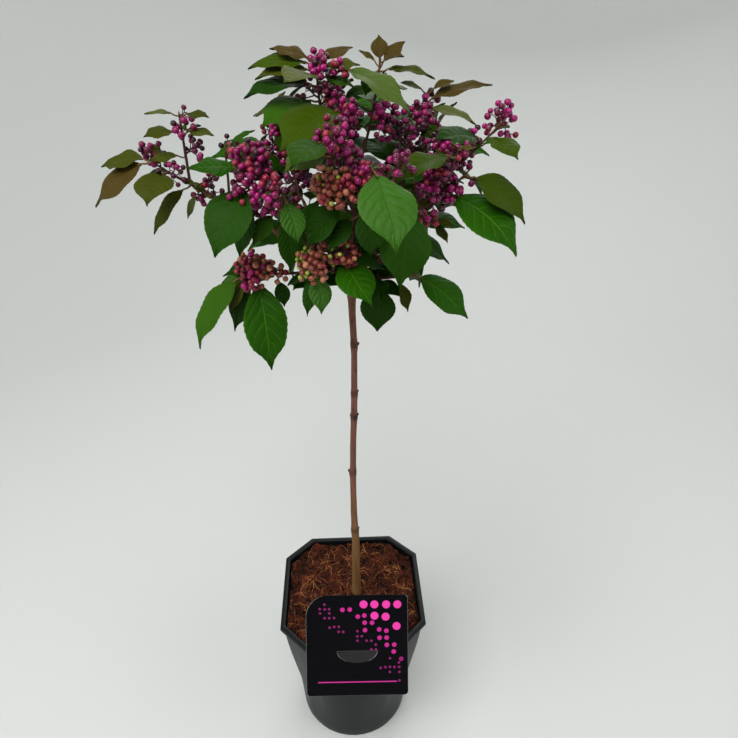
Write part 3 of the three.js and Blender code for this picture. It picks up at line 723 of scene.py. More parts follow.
# %% Strew the coir's strands over the bed
STRANDS = 4200
STRAND_LENGTH = (4, 20)
STRAND_STEPS = 4
STRAND_RADIUS = (0.14, 0.42)
CRUMBS = 1100
CRUMB_CORNERS = [(-1, -0.8, -0.5), (1, -0.7, -0.6), (0.9, 0.8, -0.4), (-0.8, 0.9, -0.6), (0.1, 0, 0.8)]
CRUMB_SIDES = [[3, 2, 1, 0], [0, 1, 4], [1, 2, 4], [2, 3, 4], [3, 0, 4]]
PATCH_SIZE = 10
BED_REACH = 66
STEM_CLEAR = 8
STRAND_SEED = 11
strand_draw = np.random.default_rng(STRAND_SEED)
pale_strands = Pile()
dark_strands = Pile()
crumbs = Pile()


def on_bed(x, y, margin):
    """Whether a place on the bed is this far from the wall."""
    angle = degrees(atan2(y, x)) - POT_TURN
    return hypot(x, y) < pot_radius(angle, BED_TOP) - WALL_CLEAR - margin


def spot_on_soil(margin):
    """A drawn place on the bed that is clear of the wall and of the stem."""
    while True:
        x, y = strand_draw.uniform(-BED_REACH, BED_REACH, 2)
        if on_bed(x, y, margin) and hypot(x - STEM_X, y) > STEM_CLEAR:
            return x, y


def patch_at(x, y):
    """More than 0 in a paler patch of the bed, and less in a darker one."""
    return noise.noise(Vector((x / PATCH_SIZE, y / PATCH_SIZE, SOIL_SEED + 9)))


for _ in range(STRANDS):
    length = strand_draw.uniform(*STRAND_LENGTH)
    x, y = spot_on_soil(2.5)
    patch = patch_at(x, y)
    if patch < strand_draw.uniform(-0.4, 0.1):
        continue
    heading = strand_draw.uniform(0, 2 * pi)
    curl = strand_draw.uniform(-1.6, 1.6) / STRAND_STEPS
    lift = strand_draw.uniform(0.0, 1.45) ** 2
    path = []
    for step in range(STRAND_STEPS + 1):
        if on_bed(x, y, 0.8):
            arch = lift * sin(pi * step / STRAND_STEPS)
            path.append((x, y, soil_height(x, y) + 0.2 + arch))
        x += cos(heading) * length / STRAND_STEPS
        y += sin(heading) * length / STRAND_STEPS
        heading += curl
    if len(path) > 2:
        thin = strand_draw.uniform(*STRAND_RADIUS)
        skin = tube(path, np.linspace(thin, thin * 0.5, len(path)), 3)
        pile = pale_strands if strand_draw.random() < 0.1 + patch * 0.6 else dark_strands
        pile.add(*skin, np.clip(strand_draw.random() * 0.7 + patch * 1.6 - 0.05, 0, 1))
for _ in range(CRUMBS):
    x, y = spot_on_soil(2.0)
    size = strand_draw.uniform(0.7, 1.5) ** 2
    turn = Euler(strand_draw.uniform(0, 2 * pi, 3)).to_matrix()
    shape = np.array([turn @ (Vector(corner) * size) for corner in CRUMB_CORNERS])
    shape += (x, y, soil_height(x, y) + 0.1)
    tone = np.clip(strand_draw.random() * 0.6 + patch_at(x, y) * 1.5, 0, 1)
    crumbs.add(shape, CRUMB_SIDES, tone)


# %% Finish the strands and crumbs
def toned_finish(name, dark, pale, roughness):
    """A dull finish whose colour goes from dark to pale by the tone stored on the points."""
    finish = Finish(name, Roughness=roughness, Specular_IOR_Level=0.3)
    grain = cloud(finish, 700, detail=3)
    share = mark(finish, "tone") * 0.75 + grain * 0.25
    finish.shade(Base_Color=blend(finish, share, dark, pale), Normal=bump(finish, grain, 0.0003, 0.6))
    return finish.material


pale_finish = toned_finish("coir_pale", screen(96, 44, 18), screen(206, 140, 78), 0.8)
dark_finish = toned_finish("coir_dark", screen(12, 5, 4), screen(122, 54, 24), 0.85)
crumb_finish = toned_finish("coir_crumb", screen(7, 4, 3), screen(104, 46, 24), 0.95)
strand_sets = [
    ("coir_strands_pale", pale_strands, pale_finish),
    ("coir_strands_dark", dark_strands, dark_finish),
    ("coir_crumbs", crumbs, crumb_finish),
]
for name, pile, finish in strand_sets:
    deliver(pile.mesh(name), name, [finish], "coir_soil")

# %% [markdown]
# ## The label card
#
# The card is a thin glossy plate with one large rounded corner. A half moon is cut along its curved side,
# and the tongue this leaves is bent back over the pot's rim, so the card hangs there and leans out a
# little. It is cut from a flat block with bevelled corners. Cutting tools with a Boolean is the simplest
# way to get the half moon.

# %% Cut the card's plate and bend its tongue
CARD_SIDE = 93.5
CARD_THICKNESS = 0.8
CARD_BIG_CORNER = 20
CARD_SMALL_CORNER = 3.5
CARD_ABOVE_HINGE = 52
CARD_LEAN = 29.5
CARD_TURN = 1.1
CARD_MIDDLE_X = 4.8
CARD_STANDS_OFF = 1.1
SLOT_WIDTH = 37
SLOT_DEPTH = 12
SLOT_FLATTENING = 0.94
TONGUE_GAP = 0.3
TONGUE_DIP = 9
card_middle = (CARD_ABOVE_HINGE - CARD_SIDE / 2) * MM
card_edge = CARD_SIDE / 2 * MM - 1e-5


def half_moon(width, depth, thickness, name):
    """A flat half disc that hangs below the hinge line, as wide as given and a little less deep."""
    bpy.ops.mesh.primitive_cylinder_add(vertices=64, radius=1.0, depth=thickness * MM)
    moon = bpy.context.object
    moon.name = name
    moon.rotation_euler = (radians(90), 0, 0)
    settle_in_place(moon)
    moon.scale = (width / 2 * MM, 1, depth * SLOT_FLATTENING * MM)
    settle_in_place(moon)
    bpy.ops.object.mode_set(mode="EDIT")
    bpy.ops.mesh.select_all(action="SELECT")
    bpy.ops.mesh.bisect(plane_co=(0, 0, 0), plane_no=(0, 0, 1), clear_outer=True, use_fill=True)
    bpy.ops.object.mode_set(mode="OBJECT")
    return moon


def bevel_corner(piece, wanted, size, steps):
    """Rounds the edges through the plate's thickness that are at a wanted corner."""
    select_only(piece)
    bpy.ops.object.mode_set(mode="EDIT")
    bpy.ops.mesh.select_mode(type="EDGE")
    bpy.ops.mesh.select_all(action="DESELECT")
    shape = bmesh.from_edit_mesh(piece.data)
    for edge in shape.edges:
        one, two = (vertex.co for vertex in edge.verts)
        through = abs(one.x - two.x) < 1e-6 and abs(one.z - two.z) < 1e-6
        edge.select_set(through and wanted(one))
    bmesh.update_edit_mesh(piece.data)
    bpy.ops.mesh.bevel(offset=size * MM, segments=steps, affect="EDGES")
    bpy.ops.object.mode_set(mode="OBJECT")


bpy.ops.object.select_all(action="DESELECT")
bpy.ops.mesh.primitive_cube_add(size=1, location=(0, 0, card_middle))
card = bpy.context.object
card.scale = (CARD_SIDE * MM, CARD_THICKNESS * MM, CARD_SIDE * MM)
settle_in_place(card)
bevel_corner(card, lambda place: place.x < 0 and place.z > card_middle, CARD_BIG_CORNER, 14)
for sideways, upwards in [(1, 1), (1, -1), (-1, -1)]:
    bevel_corner(
        card,
        lambda place: place.x * sideways > card_edge and (place.z - card_middle) * upwards > card_edge,
        CARD_SMALL_CORNER,
        5,
    )
cutter = half_moon(SLOT_WIDTH, SLOT_DEPTH, 6, "slot_cutter")
apply_modifier(card, "BOOLEAN", object=cutter, operation="DIFFERENCE", solver="EXACT")
bpy.data.objects.remove(cutter)

# %% Map the print, hang the card and add its tongue
tongue = half_moon(SLOT_WIDTH - 2 * TONGUE_GAP, SLOT_DEPTH - TONGUE_GAP, CARD_THICKNESS, "card_tongue")
for piece in (card, tongue):
    layer = piece.data.uv_layers.new(name="print")
    for loop in piece.data.loops:
        place = piece.data.vertices[loop.vertex_index].co
        across = place.x / (CARD_SIDE * MM) + 0.5
        upwards = (place.z - card_middle) / (CARD_SIDE * MM) + 0.5
        layer.data[loop.index].uv = (across, upwards)
reach_over_rim = POT_HALF_WIDTH - NECK_HALF_WIDTH + POT_WALL + CARD_STANDS_OFF
hinge_height = POT_HEIGHT + SOIL_GAP + reach_over_rim * tan(radians(TONGUE_DIP))
lean_back = Matrix.Rotation(radians(-CARD_LEAN), 4, "X")
bend_back = Matrix.Rotation(radians(90 - TONGUE_DIP), 4, "X")
hang = Matrix.Translation(Vector((CARD_MIDDLE_X, -POT_HALF_WIDTH - CARD_STANDS_OFF, hinge_height)) * MM)
turn_about_pot = Matrix.Rotation(radians(CARD_TURN), 4, "Z")
stand_up = Matrix.Translation(Vector((0, -CARD_THICKNESS / 2, 0)) * MM)
card.data.transform(turn_about_pot @ hang @ lean_back @ stand_up)
lay_flat = Matrix.Translation(Vector((0, 0, CARD_THICKNESS / 2)) * MM)
tongue.data.transform(turn_about_pot @ hang @ lay_flat @ bend_back)
join(card, tongue)
apply_modifier(card, "BEVEL", width=0.15 * MM, segments=1, limit_method="ANGLE", angle_limit=radians(50))
select_only(card)
bpy.ops.object.shade_smooth_by_angle(angle=radians(40))

# %% [markdown]
# ## The card's print
#
# Such a card is printed with a picture and words. This one keeps only what any such card could carry: a
# near-black gloss with magenta dots of several sizes, drifting down from one corner, as plain as a
# spotted pattern. The dots are cells of a grid that are drawn or left out by chance.

# %% Finish the card
card_print = Finish("card_print", Roughness=0.3, Specular_IOR_Level=0.08)
print_place = card_print.node("ShaderNodeUVMap", {"uv_map": "print"})
print_right, print_up, _ = parts_of(card_print, print_place)


def band(value, low, high):
    """1 while a value is between two limits."""
    rises = fade(card_print, value, low, low + 0.005)
    return rises * fade(card_print, value, high, high + 0.005, 1.0, 0.0)


def dots(per_card, size, chance, low, high):
    """Whole round dots on a grid across a slanting band of the card, each kept by chance."""
    kind = "ShaderNodeTexVoronoi"
    settings = {"voronoi_dimensions": "2D"}
    sockets = {"Vector": print_place, "Scale": per_card, "Randomness": 0.2}
    near = card_print.node(kind, settings, sockets, "Distance")
    drawn = card_print.node(kind, settings, sockets, "Color")
    middle = card_print.node(kind, settings, sockets, "Position")
    right, up, _ = parts_of(card_print, middle)
    inside = band(right, 0.07, 0.93) * band(up, 0.07, 0.93)
    slanting = band(right * 0.75 + up * 0.9, low, high)
    disc = fade(card_print, near, size, size + 0.05, 1.0, 0.0)
    chosen = card_print.node("ShaderNodeSeparateColor", {}, {0: drawn})
    return disc * inside * slanting * fade(card_print, chosen, chance, chance + 0.02, 1.0, 0.0)


large_dots = dots(9.0, 0.33, 0.75, 1.2, 2.0)
small_dots = dots(14.0, 0.29, 0.6, 1.0, 1.18)
fine_dots = dots(22.0, 0.25, 0.45, 0.78, 0.98)
rule_line = band(print_up, 0.128, 0.139) * band(print_right, 0.11, 0.885)
black_card = screen(4, 4, 8)
with_fine = blend(card_print, fine_dots, black_card, screen(128, 34, 96))
with_small = blend(card_print, small_dots, with_fine, screen(186, 42, 132))
with_large = blend(card_print, large_dots, with_small, screen(222, 62, 160))
card_print.shade(Base_Color=blend(card_print, rule_line, with_large, screen(196, 52, 142)))
card_edge_finish = Finish("card_core", Roughness=0.6)
card_fibre = cloud(card_edge_finish, 1500, detail=3)
grey_core = blend(card_edge_finish, card_fibre, screen(120, 120, 124), screen(176, 176, 178))
card_edge_finish.shade(Base_Color=grey_core)
card_finishes = [card_print.material, card_edge_finish.material]
deliver(card, "label_card_plate", card_finishes, "card_print", ["label_card"])
outwards = turn_about_pot.to_3x3() @ lean_back.to_3x3() @ Vector((0, 1, 0))
for face in card.data.polygons:
    on_plate = abs(face.normal.dot(outwards)) > 0.8
    on_tongue = abs(face.normal.z) > 0.8
    face.material_index = 0 if on_plate or on_tongue else 1

# %% [markdown]
# ## The clear stem
#
# The stem is one shoot of a few years, thinned upwards, with a knot wherever a pair of leaves once stood.
# Its bark is smooth and mauve-brown, more olive near the soil, with fine lengthwise ridges and small dark
# buds. A circle is extruded upwards from row to row of a table and resized at each, then subdivided, and
# its points are pushed in and out along noise that is stretched lengthwise.

# %% Write down the stem's rows and raise it
STEM = [
    (160, 0, 5.8), (170, 0, 4.9), (177, 0, 4.4), (205, -0.1, 4.1), (240, -0.1, 3.6),
    (246, -0.3, 3.7), (252, -0.5, 4), (258, -0.7, 3.3), (280, -1.3, 3), (300, -1.4, 2.8),
    (317, -1.5, 2.8), (323, -1.7, 3.5), (330, -1.3, 2.7), (360, -0.7, 2.7), (378, 0, 2.7),
    (384, 0.3, 3.3), (390, 0.4, 2.7), (402, 0.6, 2.6), (407, 0.8, 3.2), (413, 0.8, 2.6),
    (446, 1.1, 2.5), (452, 1.3, 3.2), (459, 0.9, 2.6), (482, 0, 2.7), (492, 0, 3.2),
    (500, 0, 4.5), (514, 0, 5), (537, 0, 5), (544, 0, 4.3),
]
STEM_HEIGHTS, STEM_OFFSETS, STEM_RADII = zip(*STEM)
STEM_SIDES = 18
STEM_STEP = 4.0

bpy.ops.object.select_all(action="DESELECT")
height, offset, radius = STEM[0]
start = Vector((STEM_X + offset, 0, height)) * MM
bpy.ops.mesh.primitive_circle_add(
    vertices=STEM_SIDES, radius=radius * MM, fill_type="NGON", location=start
)
stem = bpy.context.object
bpy.ops.object.mode_set(mode="EDIT")
bpy.ops.mesh.select_mode(type="EDGE")
centre = start
for (low, low_offset, low_radius), (high, high_offset, high_radius) in zip(STEM, STEM[1:]):
    steps = max(1, round((high - low) / STEM_STEP))
    for step in range(1, steps + 1):
        share = step / steps
        aside = low_offset + (high_offset - low_offset) * share
        next_centre = Vector((STEM_X + aside, 0, low + (high - low) * share)) * MM
        next_radius = low_radius + (high_radius - low_radius) * share
        bpy.ops.mesh.extrude_region_move(TRANSFORM_OT_translate={"value": next_centre - centre})
        grow = next_radius / radius
        bpy.ops.transform.resize(value=(grow, grow, 1), center_override=next_centre)
        centre = next_centre
        radius = next_radius
bpy.ops.mesh.edge_face_add()
bpy.ops.mesh.select_all(action="SELECT")
bpy.ops.mesh.normals_make_consistent(inside=False)
bpy.ops.object.mode_set(mode="OBJECT")
settle_in_place(stem)
apply_modifier(stem, "SUBSURF", levels=1, render_levels=1)

# %% Push the bark's relief into the stem
KNOTS = [252, 323, 384, 407, 452]


def bark_relief(place):
    """How far the bark stands out at a place, in millimetres."""
    x, y, z = (side / MM for side in place)
    ridges = noise.noise(Vector((x * 0.9, y * 0.9, z * 0.05)))
    fine = noise.noise(Vector((x * 2.2, y * 2.2, z * 0.12 + 9)))
    warts = max(0, noise.noise(Vector((x * 0.7, y * 0.7, z * 0.45 + 31))) - 0.35)
    knobbly = noise.noise(Vector((x * 0.35, y * 0.35, z * 0.16 + 50)))
    at_head = clamp((z - 494) / 10)
    scars = sum(max(0, 1 - abs(z - knot - 2.2) / 0.9) for knot in KNOTS)
    return 0.16 * ridges + 0.07 * fine + 0.5 * warts + 1.1 * at_head * knobbly + 0.28 * scars


for vertex in stem.data.vertices:
    vertex.co += vertex.normal * bark_relief(vertex.co) * MM
bpy.ops.object.shade_smooth()

# %% Set the buds at the knots
BUDS = [(323, 178, 1.1), (384, 8, 1.0), (407, 20, 0.9), (452, 350, 1.1), (384, 190, 0.7), (252, 10, 0.8)]
BUD_LENGTHENED = 1.7
BUD_LEAN = 22
BUD_SINK = 0.35
buds = []
for height, heading, size in BUDS:
    way = Vector((cos(radians(heading)), sin(radians(heading)), 0))
    reach = np.interp(height, STEM_HEIGHTS, STEM_RADII)
    aside = np.interp(height, STEM_HEIGHTS, STEM_OFFSETS)
    bpy.ops.mesh.primitive_ico_sphere_add(subdivisions=2, radius=1.0)
    bud = bpy.context.object
    bud.scale = (size * MM, size * MM, size * BUD_LENGTHENED * MM)
    bud.location = Vector((STEM_X + aside, 0, height + 2)) * MM + way * (reach - BUD_SINK) * MM
    bud.rotation_euler = (0, radians(BUD_LEAN) * cos(radians(heading)), 0)
    settle_in_place(bud)
    buds.append(bud)
join(stem, *buds)
bpy.ops.object.shade_smooth()

# %% [markdown]
# ## Bark finishes
#
# The bark's colour changes with age: olive-brown at the foot, mauve-brown higher up, and a dark
# purple-brown on this year's shoots. Small pale dots, the pores of the bark, lie over all of it. Height
# decides the stem's mixture, and noise that is stretched lengthwise gives the streaks.

# %% Finish the stem
stem_bark = Finish("stem_bark", Roughness=0.7, Specular_IOR_Level=0.2)
stem_height = parts_of(stem_bark, place_on(stem_bark))[2]
streaks = cloud(stem_bark, 420, detail=4, stretch=(1, 1, 0.09))
patches = cloud(stem_bark, 45, detail=3, stretch=(1, 1, 0.5))
pores = fade(stem_bark, cells(stem_bark, 420, stretch=(1, 1, 0.7)), 0.1, 0.2, 1.0, 0.0)
young = fade(stem_bark, stem_height + patches * 0.08, 0.26, 0.36)
olive_bark = blend(stem_bark, streaks, screen(72, 48, 24), screen(138, 102, 60))
mauve_bark = blend(stem_bark, streaks, screen(70, 36, 28), screen(132, 88, 72))
bark_colour = blend(stem_bark, young, olive_bark, mauve_bark)
scar = 0.0
for knot in KNOTS:
    away = unsigned(stem_bark, stem_height - (knot + 1.5) * MM)
    scar = scar + fade(stem_bark, away, 0.5 * MM, 5 * MM, 0.75, 0.0)
stains = fade(stem_bark, cloud(stem_bark, 130, detail=4, stretch=(1, 1, 0.4)), 0.56, 0.68, 0.0, 0.55)
bark_colour = blend(stem_bark, scar * patches * 1.6 + stains * young, bark_colour, screen(44, 30, 26))
stem_bark.shade(
    Base_Color=blend(stem_bark, pores * 0.35, bark_colour, screen(160, 128, 106)),
    Normal=bump(stem_bark, streaks + pores * 0.5, 0.0004, 0.8),
)
deliver(stem, "clear_stem", [stem_bark.material], "trunk_bark", ["trunk"])


# %% Define the finish of young wood
def young_wood(name, dark, pale):
    """Smooth bark with lengthwise streaks and a few pale pores."""
    finish = Finish(name, Roughness=0.6, Specular_IOR_Level=0.2)
    lines = cloud(finish, 500, detail=3)
    spots = fade(finish, cells(finish, 600), 0.1, 0.2, 1.0, 0.0)
    wood = blend(finish, lines * 0.7 + mark(finish, "tone") * 0.3, dark, pale)
    finish.shade(
        Base_Color=blend(finish, spots * 0.25, wood, screen(150, 112, 92)),
        Normal=bump(finish, lines + spots * 0.4, 0.0003, 0.7),
    )
    return finish.material


# %% [markdown]
# ## The boughs
#
# Eighteen boughs leave the stem's swollen head. Each is one curve, from a heading, a height on the stem,
# a reach and the height of its tip. They are the same curves as the frame's, with more points, a swollen
# foot that sinks into the head, and a relief of ridges and joints.

# %% Repeat the rule for headings and boughs
HEAD_RADIUS = 5
HEAD_TOP = 544
CROWN_X = 3.2
LEADER_OFFSET = 2.1
BOUGH_RADIUS = (1.7, 1.3)
BOUGH_SAG = 0.12
JOINT_GAP = 0.3
BOUGHS = {
    "left": (188, 513, 60, 556),
    "front_left": (226, 520, 46, 552),
    "top_left": (205, HEAD_TOP, 12, 588),
    "top": (350, HEAD_TOP, 8, 590),
    "top_right": (2, 530, 32, 586),
    "right": (345, 522, 50, 572),
    "right_low": (325, 511, 46, 556),
    "front": (276, 527, 42, 560),
    "front_right": (300, 516, 40, 548),
    "low_right": (322, 503, 24, 514),
    "low_front": (258, 506, 26, 524),
    "low_left": (212, 505, 32, 520),
    "back_left": (140, 511, 44, 556),
    "back": (96, 519, 40, 562),
    "back_right": (45, 513, 46, 556),
    "back_low": (75, 504, 34, 524),
    "back_left_low": (140, 505, 34, 524),
    "back_right_low": (38, 505, 34, 526),
}


def aim(heading, rise):
    """The way that a heading and a rise above level point, in degrees."""
    flat = cos(radians(rise))
    return np.array([flat * cos(radians(heading)), flat * sin(radians(heading)), sin(radians(rise))])


def bough_path(heading, height, reach, tip_height, steps=4):
    """A bough's curve, which starts at the head's surface and ends at the bough's tip."""
    outward = aim(heading, 0)
    tip = outward * reach + (CROWN_X, 0, tip_height)
    leads = height >= HEAD_TOP
    start = outward * (LEADER_OFFSET if leads else HEAD_RADIUS + JOINT_GAP)
    start = start + (STEM_X, 0, HEAD_TOP + JOINT_GAP if leads else height)
    middle = (start + tip) / 2
    if leads:
        middle = np.array([start[0], start[1], middle[2]])
    else:
        middle = middle + outward * BOUGH_SAG * reach - (0, 0, BOUGH_SAG * (tip_height - height))
        start_rise = atan2(middle[2] - start[2], hypot(middle[0] - start[0], middle[1] - start[1]))
        start = start + outward * BOUGH_RADIUS[0] * sin(start_rise)
    shares = np.linspace(0, 1, steps + 1)[:, None]
    return start * (1 - shares) ** 2 + 2 * middle * shares * (1 - shares) + tip * shares ** 2


# %% Grow the boughs with their relief
BOUGH_STEPS = 26
BOUGH_SIDES = 9
BOUGH_SINK = 3.5
FOOT_SWELL = 0.9
JOINT_SWELL = 0.35
wood_draw = np.random.default_rng(5)
bough_pile = Pile()
tips = {}
leads = {}
bough_paths = {}
for name, sizes in BOUGHS.items():
    plain = bough_path(*sizes)
    bough_paths[name] = plain
    tips[name] = plain[-1]
    leads[name] = unit(plain[-1] - plain[-2])
    fine = bough_path(*sizes, steps=BOUGH_STEPS)
    sink = unit(fine[1] - fine[0]) * -BOUGH_SINK
    fine = np.vstack([fine[0] + sink, fine])
    shares = np.linspace(0, 1, len(fine))
    radii = BOUGH_RADIUS[0] + (BOUGH_RADIUS[1] - BOUGH_RADIUS[0]) * shares
    radii += FOOT_SWELL * np.exp(-shares * 14)
    for joint in wood_draw.uniform(0.3, 0.85, 2):
        radii += JOINT_SWELL * np.exp(-((shares - joint) / 0.03) ** 2)
    grain = wood_draw.uniform(-0.07, 0.07, (len(fine), BOUGH_SIDES))
    grain += wood_draw.uniform(-0.06, 0.06, BOUGH_SIDES)
    skin = tube(fine, radii, BOUGH_SIDES, lambda ring, side: 1 + grain[ring, side])
    bough_pile.add(*skin, tone=wood_draw.random())
bough_wood = young_wood("bough_bark", screen(62, 36, 30), screen(116, 78, 62))
bough_names = [f"bough_{name}" for name in BOUGHS]
deliver(bough_pile.mesh("boughs"), "boughs", [bough_wood], "bough_bark", bough_names)

# %% [markdown]
# ## The twigs
#
# From each bough's tip a spray of twigs grows, and twigs grow from twigs. The rows give the mass that a
# twig belongs to, the twig it grows from, its place there, its heading, its rise and its length. Then
# come its leaves, as place, heading, rise, length and kind, and its fruit, as place, heading, size and
# kind. A leaf's kind is a word for its width, where that isn't plain, and its colour. The sprays on the
# far side follow a seeded rule instead: crosswise pairs of leaves with fruit between.

